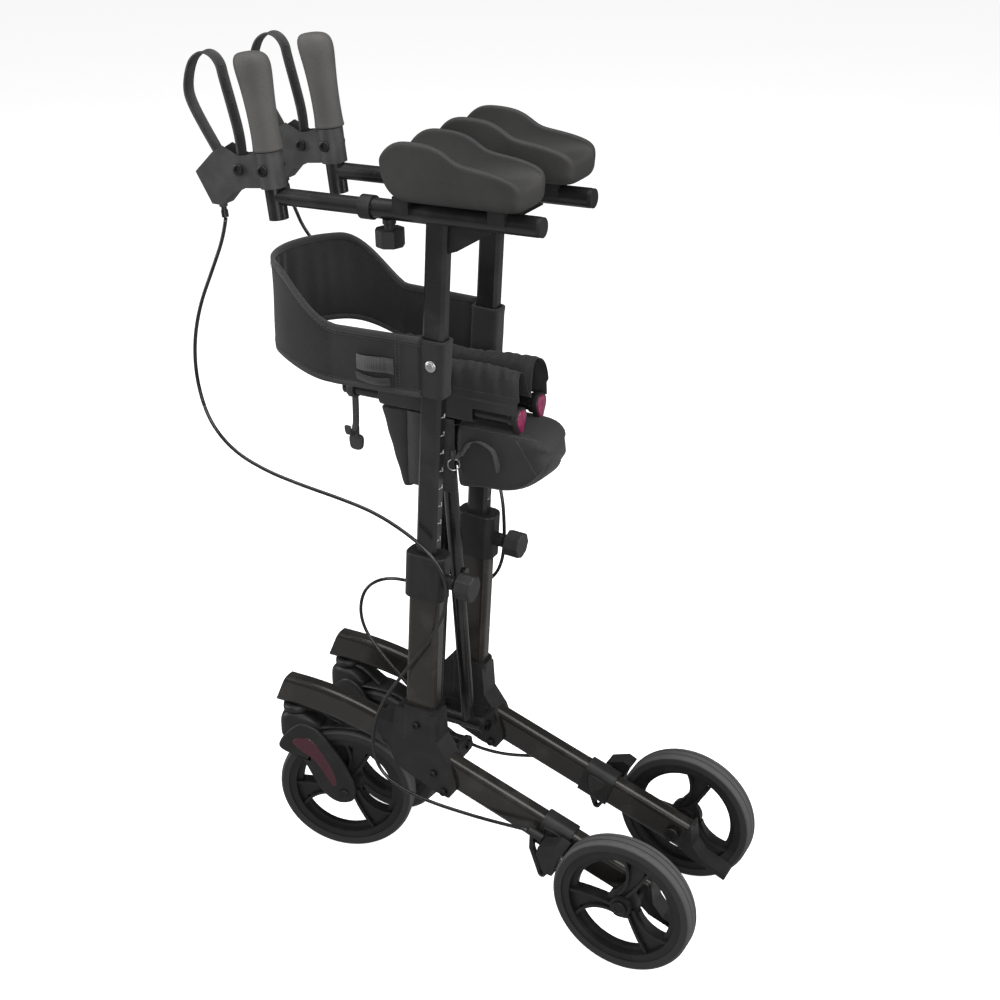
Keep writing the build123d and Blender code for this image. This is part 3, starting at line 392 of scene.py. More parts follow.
# %% Plastics and rubber
def moulded(name, level, rough, grain=1500.0, depth=0.00009):
    """Black nylon with a moulded grain."""
    finish = Finish(name)
    patch = finish.noise(35.0, 3.0)
    grit = finish.cells(grain)
    finish.set(Base_Color=finish.mix(patch.above(0.55, 0.2), grey(level), grey(level * 1.5)))
    finish.set(Roughness=patch * 0.14 + rough - 0.07, Specular_IOR_Level=0.28)
    finish.set(Normal=finish.bump(grit, depth, 0.55))
    return finish.material


def soft_skin(name, level, rough, grain, depth):
    """Foam or rubber skin: round pebbles, and a chalky bloom in patches."""
    finish = Finish(name)
    pebbles = finish.cells(grain, feature="SMOOTH_F1")
    bloom = finish.noise(14.0, 4.0)
    speck = finish.noise(700.0, 2.0)
    tone = bloom * 0.6 + speck * 0.4
    dark, pale = grey(level * 0.8, 0.02), grey(level * 1.25, 0.03)
    finish.set(Base_Color=finish.mix(tone.above(0.5, 0.25), dark, pale))
    finish.set(Roughness=bloom * 0.12 + rough - 0.06, Specular_IOR_Level=0.22)
    finish.set(Normal=finish.bump(pebbles + speck * 0.5, depth, 0.6))
    return finish.material


nylon = moulded("black nylon", 0.011, 0.44)
knob_plastic = moulded("knob plastic", 0.017, 0.5)
rim_plastic = moulded("rim plastic", 0.010, 0.40, grain=1100.0)
pad_skin = soft_skin("pad skin", 0.030, 0.62, 900.0, 0.00022)
grip_skin = soft_skin("grip skin", 0.070, 0.64, 1100.0, 0.00018)
handle_nylon = moulded("handle nylon", 0.034, 0.5)
print("plastic finishes", 6)

# %% [markdown]
# ## Tyres
# The tread is a moulded rubber band. Its pattern follows the wheel, so the finish needs to know
# the wheel's middle and its axle: a Mapping node moves and turns the coordinates, then the
# distance across the tread gives the grooves and the angle round the wheel gives the sipes.

# %% Tyres
def tyre_rubber(name, centre, turn):
    """Worn grey rubber with two grooves round the tread and fine sipes across it."""
    finish = Finish(name)
    mapping = {"Vector": finish.place(), "Location": centre, "Rotation": (0.0, 0.0, turn)}
    local = finish.node("ShaderNodeMapping", {"vector_type": "TEXTURE"}, mapping)
    split = finish.node("ShaderNodeSeparateXYZ", {}, {0: local})
    forward = Wire(finish, split.socket.node.outputs["X"])
    across = Wire(finish, split.socket.node.outputs["Y"])
    up = Wire(finish, split.socket.node.outputs["Z"])
    radius = (forward * forward + up * up) ** 0.5
    tread = radius.above(wheel_radius - 0.0035, 0.0012)
    angle = finish.node("ShaderNodeMath", {"operation": "ARCTAN2"}, {0: up, 1: forward})
    groove = 1.0 - (across.size() - 0.0048).size().above(0.0009, 0.0004)
    sipe = (angle * 110.0 + across * 260.0).sine().above(0.82, 0.12)
    cut = groove * tread
    wear = finish.noise(90.0, 5.0)
    grit = finish.noise(1300.0, 3.0)
    face = finish.mix(tread * (wear * 0.5 + 0.5), grey(0.014), grey(0.066))
    finish.set(Base_Color=finish.mix(cut, face, grey(0.012)), Roughness=wear * 0.2 + 0.62)
    height = grit * 0.18 - cut * 1.6 - sipe * tread * 0.35
    finish.set(Normal=finish.bump(height, 0.0005, 0.7))
    return finish.material


def middle(node):
    low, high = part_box(node)
    return (low + high) / 2


caster_angle = {"left": math.radians(17), "right": math.radians(-6)}
tyre_turn = {"left_rear": 0.0, "right_rear": 0.0, "left_front": caster_angle["left"],
             "right_front": caster_angle["right"]}
for wheel, turn in tyre_turn.items():
    node = wheel + "_tyre"
    rubber = tyre_rubber(wheel + " rubber", middle(node), turn)
    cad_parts[node].data.materials.clear()
    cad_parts[node].data.materials.append(rubber)
print("tyres", len(tyre_turn))

# %% [markdown]
# ## Cloth
# Woven cloth shows two sets of threads. Each piece carries a UV map in metres along its own
# length and height, and the weave is the product of two sine waves on that map. Nylon sheet has
# a tighter weave and more shine than the padded belt.

# %% Cloth
def woven(name, level, rough, pitch, depth, sheen, gloss=0.25):
    """Cloth whose threads follow the piece's own UV map, which is in metres."""
    finish = Finish(name)
    uv = finish.node("ShaderNodeUVMap", {"uv_map": "cloth"})
    split = finish.node("ShaderNodeSeparateXYZ", {}, {0: uv})
    along = Wire(finish, split.socket.node.outputs["X"])
    height = Wire(finish, split.socket.node.outputs["Y"])
    waves = (along * (math.tau / pitch)).sine() * (height * (math.tau / pitch)).sine()
    lint = finish.noise(420.0, 4.0)
    tone = finish.noise(16.0, 3.0)
    shade = waves * 0.22 + lint * 0.5 + tone * 0.4
    finish.set(Base_Color=finish.mix(shade.above(0.5, 0.3), grey(level * 0.7), grey(level * 1.5, 0.01)))
    finish.set(Roughness=lint * 0.15 + rough - 0.07, Sheen_Weight=sheen, Sheen_Roughness=0.5)
    finish.set(Specular_IOR_Level=gloss, Normal=finish.bump(waves + lint * 0.6, depth, 0.6))
    return finish.material


belt_cloth = woven("belt cloth", 0.017, 0.85, 0.0016, 0.00022, 0.10)
binding_tape = woven("binding tape", 0.028, 0.75, 0.0024, 0.0003, 0.12)
seat_nylon = woven("seat nylon", 0.012, 0.62, 0.0012, 0.00016, 0.08, gloss=0.4)
webbing = woven("webbing", 0.045, 0.7, 0.003, 0.0004, 0.15)
thread = moulded("sewing thread", 0.05, 0.7)


def map_cloth(piece, uv_of):
    """Gives a piece its cloth map. uv_of turns a point into metres along and metres up."""
    layer = piece.data.uv_layers.new(name="cloth")
    for loop in piece.data.loops:
        layer.data[loop.index].uv = uv_of(piece.data.vertices[loop.vertex_index].co)
    return piece


print("cloth finishes", 4)

# %% [markdown]
# ## Trim finishes
# The maroon insets are glossy, slightly clear plastic. The height scale is printed in white and
# is a little worn. The cable's sheath is smooth and shiny.

# %% Trim finishes
def clear_plastic(name, colour, dark):
    """Glossy tinted plastic with a darker depth."""
    finish = Finish(name)
    depth = finish.noise(140.0, 3.0)
    finish.set(Base_Color=finish.mix(depth.above(0.5, 0.3), colour, dark))
    finish.set(Roughness=depth * 0.1 + 0.18, Coat_Weight=0.25, Coat_Roughness=0.08)
    finish.set(Normal=finish.bump(finish.noise(500.0), 0.00006, 0.4))
    return finish.material


def white_print(name):
    """White ink with worn places."""
    finish = Finish(name)
    worn = finish.noise(650.0, 4.0)
    colour = finish.mix(worn.above(0.66, 0.08), grey(0.62), grey(0.12))
    finish.set(Base_Color=colour, Roughness=worn * 0.2 + 0.4)
    return finish.material


dark_maroon = clear_plastic("dark maroon inset", (0.052, 0.001, 0.011, 1), (0.030, 0.001, 0.007, 1))
bright_maroon = clear_plastic("bright maroon inset", (0.25, 0.010, 0.075, 1), (0.13, 0.005, 0.04, 1))
ink = white_print("scale ink")
sheath = black_paint("cable sheath", 0.010, 0.22)
print("trim finishes", 4)

# %% [markdown]
# ## Finishes on the design's own parts
# Parts that are right as designed keep their shape and only get a finish. A short table of
# part names gives each its material.

# %% Finishes on the designed parts
finish_of = {
    "rail": frame_paint, "outer_post": frame_paint, "inner_post": post_paint, "arm_tube": post_paint,
    "handle_tube": post_paint, "frame_joint": nylon, "height_collar": nylon, "arm_fittings": nylon,
    "brake_housing": handle_nylon, "caster_fork": nylon, "brake_clamp": nylon, "tip_pedal": nylon,
    "brake_lever": nylon, "height_knob": knob_plastic, "arm_knob": knob_plastic,
    "frame_hardware": dark_steel, "housing_bolts": dark_steel, "front_axle": dark_steel, "grip": grip_skin,
    "brake_shoe": nylon, "front_rim": rim_plastic, "rear_rim": rim_plastic,
    "cross_bar_a": brace_paint, "cross_bar_b": brace_paint, "seat_rail_a": brace_paint,
    "seat_rail_b": brace_paint, "fold_hook": nylon,
}
finished = 0
for node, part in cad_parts.items():
    kind = node.replace("left_", "").replace("right_", "")
    if kind in finish_of:
        part.data.materials.clear()
        part.data.materials.append(finish_of[kind])
        finished += 1
print("parts finished", finished)

# %% [markdown]
# ## Camera, light and floor
# A long lens from behind and to the left, looking down a little. A broad soft light from above,
# one from each side and a bright surround give black plastic long quiet highlights.

# %% Camera, light and floor
def make_camera():
    yaw = math.radians(27.33)
    pitch = math.radians(25.45)
    data = bpy.data.cameras.new("camera")
    data.sensor_width = 36.0
    data.lens = 61.7
    data.clip_end = 50.0
    camera = bpy.data.objects.new("camera", data)
    camera.location = at(-0.6974, 1.8234, 1.5711)
    look = Vector((math.sin(yaw) * math.cos(pitch), -math.cos(yaw) * math.cos(pitch), -math.sin(pitch)))
    camera.rotation_euler = look.to_track_quat("-Z", "Y").to_euler()
    link(camera)
    bpy.context.scene.camera = camera
    return camera


def area_light(name, place, target, size, power):
    data = bpy.data.lights.new(name, "AREA")
    data.shape = "RECTANGLE"
    data.size = size[0]
    data.size_y = size[1]
    data.energy = power
    light = bpy.data.objects.new(name, data)
    light.location = place
    light.rotation_euler = (Vector(target) - Vector(place)).to_track_quat("-Z", "Y").to_euler()
    link(light)
    return light


def make_floor():
    half = 24.0
    corners = [(-half, -half, 0), (half, -half, 0), (half, half, 0), (-half, half, 0)]
    floor = mesh_piece("floor", corners, [(0, 1, 2, 3)], smooth=False)
    finish = Finish("pale floor")
    cloud = finish.noise(1.5, 2.0)
    seen = finish.node("ShaderNodeLightPath", out="Is Camera Ray")
    pale = finish.mix(cloud * 0.3, grey(0.84), grey(0.80))
    finish.set(Base_Color=finish.mix(seen, grey(0.34), pale), Roughness=0.8)
    finish.set(Emission_Color=finish.mix(seen, grey(0.0), grey(1.0)), Emission_Strength=0.80)
    floor.data.materials.append(finish.material)
    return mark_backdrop(floor)


camera = make_camera()
area_light("top", (0.0, 0.3, 3.2), (0, 0, 0.5), (2.6, 2.2), 80)
area_light("left side", (-1.6, 2.6, 1.6), (0, 0, 0.6), (1.6, 1.8), 62)
area_light("behind", (-2.6, -0.6, 1.7), (0, 0, 0.6), (1.2, 2.0), 55)
area_light("front rim", (2.4, 1.2, 1.5), (0, 0, 0.6), (1.2, 1.8), 45)
world = bpy.data.worlds.new("surround")
bpy.context.scene.world = world
world.use_nodes = True
world.node_tree.nodes["Background"].inputs[0].default_value = (1, 1, 1, 1)
world.node_tree.nodes["Background"].inputs[1].default_value = 0.13
bpy.context.scene.view_settings.view_transform = "Standard"
make_floor()
print("camera at", [round(v, 3) for v in camera.location])

# %% [markdown]
# ## Brake cables
# Each brake cable is a 5 mm sheathed cable, a fixed length of stiff round stuff. Its route is a
# list of given places, and a NURBS curve draws one smooth line through that route.
# The cable crosses two joints, from the handle to the arm and from the arm to the frame. So the
# line is cut in two in the middle, where it hangs on the arm.

# %% Cable routes
cable_width = 0.005
cable_routes = {
    "left": [(0.610, 0.074, 0.925), (0.626, 0.082, 0.880), (0.644, 0.092, 0.830), (0.652, 0.100, 0.778),
             (0.649, 0.104, 0.724), (0.632, 0.106, 0.672), (0.596, 0.106, 0.636), (0.546, 0.105, 0.617),
             (0.490, 0.104, 0.607), (0.432, 0.103, 0.600), (0.378, 0.101, 0.590), (0.330, 0.098, 0.568),
             (0.297, 0.094, 0.543), (0.277, 0.090, 0.506), (0.279, 0.090, 0.463), (0.298, 0.094, 0.420),
             (0.324, 0.098, 0.380), (0.352, 0.099, 0.338), (0.378, 0.099, 0.296), (0.394, 0.099, 0.252),
             (0.396, 0.099, 0.212), (0.384, 0.099, 0.180), (0.352, 0.098, 0.160), (0.306, 0.097, 0.152),
             (0.256, 0.096, 0.150), (0.206, 0.096, 0.151)],
    "right": [(0.600, -0.075, 0.930), (0.592, -0.084, 0.896), (0.572, -0.098, 0.862), (0.536, -0.109, 0.826),
              (0.492, -0.114, 0.786), (0.446, -0.115, 0.744), (0.400, -0.113, 0.700), (0.354, -0.110, 0.656),
              (0.316, -0.104, 0.608), (0.292, -0.097, 0.558), (0.283, -0.088, 0.506), (0.286, -0.090, 0.456),
              (0.304, -0.098, 0.418), (0.338, -0.102, 0.394), (0.380, -0.092, 0.384), (0.420, -0.074, 0.392),
              (0.456, -0.054, 0.402), (0.484, -0.040, 0.388), (0.494, -0.034, 0.354), (0.486, -0.032, 0.318),
              (0.458, -0.033, 0.284), (0.426, -0.036, 0.250), (0.398, -0.042, 0.214), (0.368, -0.050, 0.178),
              (0.326, -0.056, 0.152),
              (0.278, -0.068, 0.142), (0.232, -0.086, 0.142), (0.190, -0.095, 0.151)],
}


def cable_ends(side):
    """Where the cable leaves the barrel under the lever, and where it enters the stop on the rail."""
    sign = sides[side]
    return at(0.6068, sign * half_track, 0.9491), at(0.1494, sign * 0.0953, 0.1544)


def smooth_line(points):
    """The points of the NURBS line that follows a route."""
    data = bpy.data.curves.new("route", "CURVE")
    data.dimensions = "3D"
    data.resolution_u = 8
    spline = data.splines.new("NURBS")
    spline.points.add(len(points) - 1)
    for control, place in zip(spline.points, points):
        control.co = (*place, 1.0)
    spline.order_u = 3
    spline.use_endpoint_u = True
    guide = bpy.data.objects.new("route", data)
    link(guide)
    bpy.context.view_layer.update()
    line = bpy.data.meshes.new_from_object(guide.evaluated_get(bpy.context.evaluated_depsgraph_get()))
    result = [v.co.copy() for v in line.vertices]
    bpy.data.objects.remove(guide)
    return result


def tube(name, line, radius, around=12):
    """A round tube along a line of points, with a frame that does not twist."""
    side = Vector((0, 0, 1)).cross(line[1] - line[0])
    side = (side if side.length > 1e-6 else Vector((1, 0, 0))).normalized()
    rings = []
    for k, point in enumerate(line):
        ahead = (line[min(k + 1, len(line) - 1)] - line[max(k - 1, 0)]).normalized()
        side = (side - ahead * side.dot(ahead)).normalized()
        other = ahead.cross(side)
        turns = [math.tau * t / around for t in range(around)]
        rings.append([point + side * math.cos(a) * radius + other * math.sin(a) * radius for a in turns])
    return loft(name, rings)


def length_of(line):
    return sum((b - a).length for a, b in zip(line, line[1:]))


print("routes", {side: len(route) for side, route in cable_routes.items()})

# %% Lay the cables
for side, route in cable_routes.items():
    first, last = cable_ends(side)
    line = smooth_line([first] + [at(*place) for place in route] + [last])
    hang = next(k for k, point in enumerate(line) if point.z < 0.70)
    halves = {"upper": line[:hang + 1], "lower": line[hang:]}
    for half, points in halves.items():
        piece = tube(f"{side}_cable_{half}", points, cable_width / 2)
        piece.data.materials.append(sheath)
        if half == "upper":
            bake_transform(piece)
        else:
            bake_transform(piece)
        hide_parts(side + "_brake_cable")
        exit_point = points[0]
        length_of(points)
        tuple(exit_point)
        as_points(points)
    print(side, "cable", round(length_of(line), 3), "m")

# %% [markdown]
# ## Forearm pads
# Each forearm rests in a moulded foam trough. It is a loft: the same U-shaped section is placed at
# stations from the elbow to the wrist, and only its height and width change. The front walls rise
# to hold the wrist, and the rear end closes like the heel of a shoe.

# %% Forearm pads
pad_stations = [  # forward of the axle, half width, underside, wall top, trough bottom
    (0.1640, 0.0270, 1.0270, 1.0400, 1.0385), (0.1652, 0.0345, 1.0220, 1.0480, 1.0435),
    (0.1690, 0.0390, 1.0185, 1.0545, 1.0460), (0.1770, 0.0412, 1.0168, 1.0590, 1.0455),
    (0.1880, 0.0420, 1.0162, 1.0622, 1.0435), (0.2040, 0.0420, 1.0160, 1.0655, 1.0400),
    (0.2240, 0.0420, 1.0156, 1.0678, 1.0380), (0.2385, 0.0420, 1.0150, 1.0695, 1.0374),
    (0.2480, 0.0420, 1.0147, 1.0725, 1.0372), (0.2560, 0.0420, 1.0145, 1.0775, 1.0370),
    (0.2650, 0.0420, 1.0143, 1.0828, 1.0370), (0.2750, 0.0420, 1.0140, 1.0865, 1.0370),
    (0.2870, 0.0420, 1.0138, 1.0888, 1.0370), (0.3030, 0.0420, 1.0134, 1.0895, 1.0370),
    (0.3180, 0.0420, 1.0132, 1.0890, 1.0372), (0.3290, 0.0418, 1.0150, 1.0865, 1.0378),
    (0.3380, 0.0414, 1.0195, 1.0810, 1.0390), (0.3445, 0.0408, 1.0270, 1.0745, 1.0405),
    (0.3485, 0.0400, 1.0370, 1.0690, 1.0430), (0.3500, 0.0388, 1.0460, 1.0650, 1.0490),
]


def pad_ring(x, half, low, top, trough, sign):
    """One U-shaped section: down the outside, up the other side, then back along the trough."""
    corner = min(0.012, (top - low) * 0.3)
    wall = min(0.0088, half * 0.3)
    right = [(half - wall, top - 0.0008), (half - wall * 0.62, top), (half - wall * 0.15, top - 0.0006),
             (half + 0.0006, top - 0.0036), (half, top - 0.0085), (half - 0.0012, (top + low) / 2),
             (half - 0.0014, low + corner), (half - 0.005, low + corner * 0.35),
             (half - 0.013, low), (half * 0.4, low - 0.0006)]
    outer = right + [(-y, z) for y, z in reversed(right)]
    steps = len(outer) - 2
    inner = []
    for k in range(1, steps + 1):
        t = -math.cos(math.pi * k / (steps + 1))
        depth = (1 - abs(t) ** 2.6) ** 0.62
        inner.append((t * (half - wall), top - 0.0015 - (top - 0.0015 - trough) * depth))
    return [at(x, sign * half_track + y, z) for y, z in outer + inner]


def forearm_pad(side):
    sign = sides[side]
    rings = [pad_ring(*station, sign) for station in pad_stations]
    pad = loft(side + "_forearm_pad", rings, cap=False)
    count = len(rings[0])
    half = count // 2 + 1
    build = bmesh.new()
    build.from_mesh(pad.data)
    build.verts.ensure_lookup_table()
    for start in (0, (len(rings) - 1) * count):
        for k in range(half - 1):
            face = [start + k, start + k + 1, start + (count - k - 1) % count, start + (count - k) % count]
            corners = list(dict.fromkeys(face))
            if len(corners) > 2:
                build.faces.new([build.verts[c] for c in corners])
    bmesh.ops.recalc_face_normals(build, faces=build.faces)
    build.to_mesh(pad.data)
    build.free()
    shade(pad.data, True)
    soften(pad, levels=2)
    pad.data.materials.append(pad_skin)
    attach(pad, side + "_upper")
    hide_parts(side + "_arm_pad")
    return pad


for side in sides:
    pad = forearm_pad(side)
    print(pad.name, len(pad.data.polygons), "faces")

# %% [markdown]
# ## Backrest belt
# The belt is a padded band that bows forward between the posts. On the real walker it is two
# layers of cloth over foam, bound with tape along its edges. It is made as a grid: one direction
# runs along the band and the other up its height, and the thickness is added as a closed section.
# The inner layer is gathered in front, so vertical folds run down it there.

# %% Belt shape
belt_side = 0.0925
belt_straight = 0.440
belt_apex = 0.5655
belt_start = post_at(0.80).x - axle_x + 0.012


def belt_plan(s):
    """The band's middle line seen from above, s from 0 on the left to 1 on the right."""
    half_chord = belt_side
    rise = belt_apex - belt_straight
    radius = (half_chord ** 2 + rise ** 2) / (2 * rise)
    centre = belt_apex - radius
    open_angle = math.atan2(half_chord, belt_straight - centre)
    run = belt_straight - belt_start
    arc = 2 * open_angle * radius
    place = s * (2 * run + arc)
    if place < run:
        x = belt_start + place
        return Vector((x, 0.0850 + (belt_side - 0.0850) * place / run)), Vector((1, 0))
    if place > run + arc:
        back = 2 * run + arc - place
        return Vector((belt_start + back, -0.0850 - (belt_side - 0.0850) * back / run)), Vector((-1, 0))
    angle = open_angle - (place - run) / radius
    point = Vector((centre + radius * math.cos(angle), radius * math.sin(angle)))
    return point, Vector((math.sin(angle), -math.cos(angle)))


def belt_edges(x):
    """The lower and upper edge of the band at a place."""
    rise = min(1.0, max(0.0, (x - 0.430) / 0.100))
    ease = rise * rise * (3 - 2 * rise)
    top = 0.8375 + 0.0625 * ease
    low = 0.7600 + 0.0200 * ease
    return low, top


belt_length = sum((belt_plan((k + 1) / 200)[0] - belt_plan(k / 200)[0]).length for k in range(200))
print("belt length", round(belt_length, 3))

# %% Belt cloth
def belt_band(name, columns=180, rows=22):
    """The band as rings round its own section, one ring for each place along it."""
    rings = []
    for k in range(columns + 1):
        s = k / columns
        point, ahead = belt_plan(s)
        outward = Vector((ahead.y, -ahead.x)) * -1
        low, top = belt_edges(point.x)
        front = max(0.0, 1 - abs(s - 0.5) / 0.26)
        ring = []
        for face in (1, -1):
            order = range(rows + 1) if face == 1 else range(rows, -1, -1)
            for row in order:
                v = row / rows
                edge = min(v, 1 - v) * (top - low)
                body = 0.0016 + 0.0012 * min(1.0, edge / 0.012)
                wave = 0.0
                if face == -1:
                    fold = math.sin(s * 150 + 1.3 * math.sin(s * 41) + 0.8 * v)
                    wave = front * 0.0020 * fold * math.sin(math.pi * v) ** 0.6
                if edge < 0.0058 and face == 1:
                    body += 0.0004
                sag = 0.0012 * math.sin(s * 37 + v * 3) * math.sin(math.pi * v)
                offset = face * body + wave + sag
                spot = point + outward * offset
                ring.append(at(spot.x, spot.y, low + v * (top - low)))
        rings.append(ring)
    return loft(name, rings)


def plan_length(point):
    """How far along the belt a point lies, roughly, for its cloth map."""
    x = point.x - axle_x
    return math.atan2(point.y, x - 0.30) * 0.16 + (x if abs(point.y) > 0.08 else 0.0) * 0.2


def belt_sleeve(side):
    """The sleeve of the belt round one post: a soft rounded tube with a hem at each end."""
    sign = sides[side]
    squareness = 0.42
    stations = [(0.7600, 0.0), (0.7612, 0.0012), (0.7645, 0.0014), (0.7670, 0.0006), (0.780, 0.0004),
                (0.7975, 0.0009), (0.815, 0.0004), (0.8300, 0.0007), (0.8325, 0.0014), (0.8352, 0.0012),
                (0.8362, 0.0)]

    def ring(z, long, wide):
        spots = []
        for k in range(40):
            a = math.tau * k / 40
            x = swell(math.cos(a), squareness) * long
            y = swell(math.sin(a), squareness) * wide
            spots.append(post_at(z, ahead=x, side=sign) + Vector((0, y, 0)))
        return spots

    outer = [ring(z, 0.0190 + puff, 0.0142 + puff) for z, puff in stations]
    inner = [ring(z, 0.0165, 0.0117) for z, puff in reversed(stations)]
    return loft(side + "_sleeve", outer + inner + [outer[0]], cap=False)


def edge_tape(name, level, columns=180):
    """Binding tape folded over the band's edge: level 0 is the lower edge and 1 the upper."""
    rings = []
    for k in range(columns + 1):
        point, ahead = belt_plan(k / columns)
        outward = Vector((ahead.y, -ahead.x)) * -1
        low, top = belt_edges(point.x)
        z = top if level else low
        inward = -1 if level else 1
        ring = []
        for t in range(10):
            a = math.pi * t / 9
            spot = point + outward * (math.cos(a) * 0.0033)
            lift = math.sin(a) * 0.0016
            drop = 0.0 if 0 < t < 9 else 0.0065
            ring.append(at(spot.x, spot.y, z - inward * lift + inward * drop))
        rings.append(ring)
    return loft(name, rings)


band = soften(belt_band("belt_band"), levels=1)
map_cloth(band, lambda p: (plan_length(p), p.z))
band.data.materials.append(belt_cloth)
pieces = [band]
for level in (0, 1):
    tape = edge_tape(f"belt_tape_{level}", level)
    map_cloth(tape, lambda p: (plan_length(p), p.z))
    tape.data.materials.append(binding_tape)
    pieces.append(tape)
for side in sides:
    sleeve = soften(belt_sleeve(side), levels=1)
    map_cloth(sleeve, lambda p: (p.x + p.y, p.z))
    sleeve.data.materials.append(belt_cloth)
    pieces.append(sleeve)
belt = join("belt", pieces)
print("belt faces", len(belt.data.polygons))

# %% [markdown]
# ## Seams
# A seam is a row of short stitches along a line. Geometry Nodes fit this well: one small stitch is
# instanced along a curve at an even pitch, turned along it. The same tree serves every seam, and
# its pitch and stitch size are inputs.

# %% Stitch tree
def stitch_tree():
    """Geometry Nodes that lay stitches along a curve."""
    tree = bpy.data.node_groups.new("stitches", "GeometryNodeTree")
    face = tree.interface
    face.new_socket("Geometry", in_out="INPUT", socket_type="NodeSocketGeometry")
    pitch = face.new_socket("Pitch", in_out="INPUT", socket_type="NodeSocketFloat")
    long = face.new_socket("Stitch length", in_out="INPUT", socket_type="NodeSocketFloat")
    thick = face.new_socket("Thread", in_out="INPUT", socket_type="NodeSocketFloat")
    cloth = face.new_socket("Material", in_out="INPUT", socket_type="NodeSocketMaterial")
    face.new_socket("Geometry", in_out="OUTPUT", socket_type="NodeSocketGeometry")
    nodes, links = tree.nodes, tree.links
    start = nodes.new("NodeGroupInput")
    end = nodes.new("NodeGroupOutput")
    spots = nodes.new("GeometryNodeResampleCurve")
    spots.mode = "LENGTH"
    to_points = nodes.new("GeometryNodeCurveToPoints")
    to_points.mode = "EVALUATED"
    stitch = nodes.new("GeometryNodeMeshUVSphere")
    stitch.inputs["Segments"].default_value = 8
    stitch.inputs["Rings"].default_value = 5
    stitch.inputs["Radius"].default_value = 1.0
    size = nodes.new("ShaderNodeCombineXYZ")
    place = nodes.new("GeometryNodeInstanceOnPoints")
    real = nodes.new("GeometryNodeRealizeInstances")
    paint = nodes.new("GeometryNodeSetMaterial")
    links.new(start.outputs["Geometry"], spots.inputs["Curve"])
    links.new(start.outputs["Pitch"], spots.inputs["Length"])
    links.new(spots.outputs["Curve"], to_points.inputs["Curve"])
    links.new(to_points.outputs["Points"], place.inputs["Points"])
    links.new(to_points.outputs["Rotation"], place.inputs["Rotation"])
    links.new(stitch.outputs["Mesh"], place.inputs["Instance"])
    links.new(start.outputs["Thread"], size.inputs["X"])
    links.new(start.outputs["Thread"], size.inputs["Y"])
    links.new(start.outputs["Stitch length"], size.inputs["Z"])
    links.new(size.outputs["Vector"], place.inputs["Scale"])
    links.new(place.outputs["Instances"], real.inputs["Geometry"])
    links.new(real.outputs["Geometry"], paint.inputs["Geometry"])
    links.new(start.outputs["Material"], paint.inputs["Material"])
    links.new(paint.outputs["Geometry"], end.inputs["Geometry"])
    inputs = {"pitch": pitch, "long": long, "thick": thick, "cloth": cloth}
    return tree, {name: made.identifier for name, made in inputs.items()}


stitches, stitch_inputs = stitch_tree()


def seam(name, line, pitch=0.0042, long=0.0014, thick=0.00045, material=None):
    """A row of stitches along a line of points, as a plain mesh."""
    data = bpy.data.curves.new(name, "CURVE")
    data.dimensions = "3D"
    spline = data.splines.new("POLY")
    spline.points.add(len(line) - 1)
    for control, point in zip(spline.points, line):
        control.co = (*point, 1.0)
    guide = bpy.data.objects.new(name + "_guide", data)
    link(guide)
    modifier = guide.modifiers.new("stitches", "NODES")
    modifier.node_group = stitches
    values = {"pitch": pitch, "long": long, "thick": thick, "cloth": material or thread}
    for key, value in values.items():
        modifier[stitch_inputs[key]] = value
    mesh = finished_mesh(guide)
    bpy.data.objects.remove(guide)
    piece = bpy.data.objects.new(name, mesh)
    link(piece)
    shade(mesh, True)
    return piece


def belt_line(level, out, first=0.0, last=1.0, steps=160):
    """A line on the belt's outer face, a fixed way in from its edge."""
    line = []
    for k in range(steps + 1):
        s = first + (last - first) * k / steps
        point, ahead = belt_plan(s)
        outward = Vector((ahead.y, -ahead.x)) * -1
        low, top = belt_edges(point.x)
        spot = point + outward * out
        line.append(at(spot.x, spot.y, top - level if level > 0 else low - level))
    return line


seams = []
for level in (0.0085, -0.0085):
    seams.append(seam(f"belt_seam_{level:.4f}", belt_line(level, 0.0034)))
for sign in (1, -1):
    for back in (0.050, 0.055):
        out = sign * (0.0905 + 0.001 * (back > 0.052))
        line = [at(belt_start + back - 0.022, out, 0.764 + 0.07 * t / 10) for t in range(11)]
        seams.append(seam(f"belt_end_{sign}_{back}", line))
belt = join("belt", [belt] + seams)
belt.name = "padded_belt"
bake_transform(belt)
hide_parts("backrest_belt")
print("belt with seams", len(belt.data.polygons))

# %% [markdown]
# ## Seat sling
# The seat is one sheet of nylon. It is hemmed round both seat rails, and with the walker folded
# its slack stands up between the rails in two humps with a valley. A profile across the walker
# gives its shape, and the sheet is swept along the rails with wrinkles that grow towards its ends.

# %% Seat sling shape
rail_half = 0.0285
rail_level = 0.730
sling_rear, sling_front = 0.199, 0.402
sling_profile = [  # across from the middle, above the seat rails' middle line
    (0.0000, 0.0200), (0.0022, 0.0215), (0.0058, 0.0330), (0.0098, 0.0475), (0.0145, 0.0578),
    (0.0205, 0.0622), (0.0270, 0.0630), (0.0335, 0.0605), (0.0385, 0.0540), (0.0412, 0.0440),
    (0.0420, 0.0320), (0.0425, 0.0210), (0.0432, 0.0120), (0.0436, 0.0030), (0.0420, -0.0080),
    (0.0372, -0.0133), (0.0300, -0.0148), (0.0215, -0.0140), (0.0158, -0.0090), (0.0138, 0.0010),
    (0.0158, 0.0095), (0.0205, 0.0140), (0.0285, 0.0156), (0.0370, 0.0150), (0.0408, 0.0170),
    (0.0412, 0.0215),
]


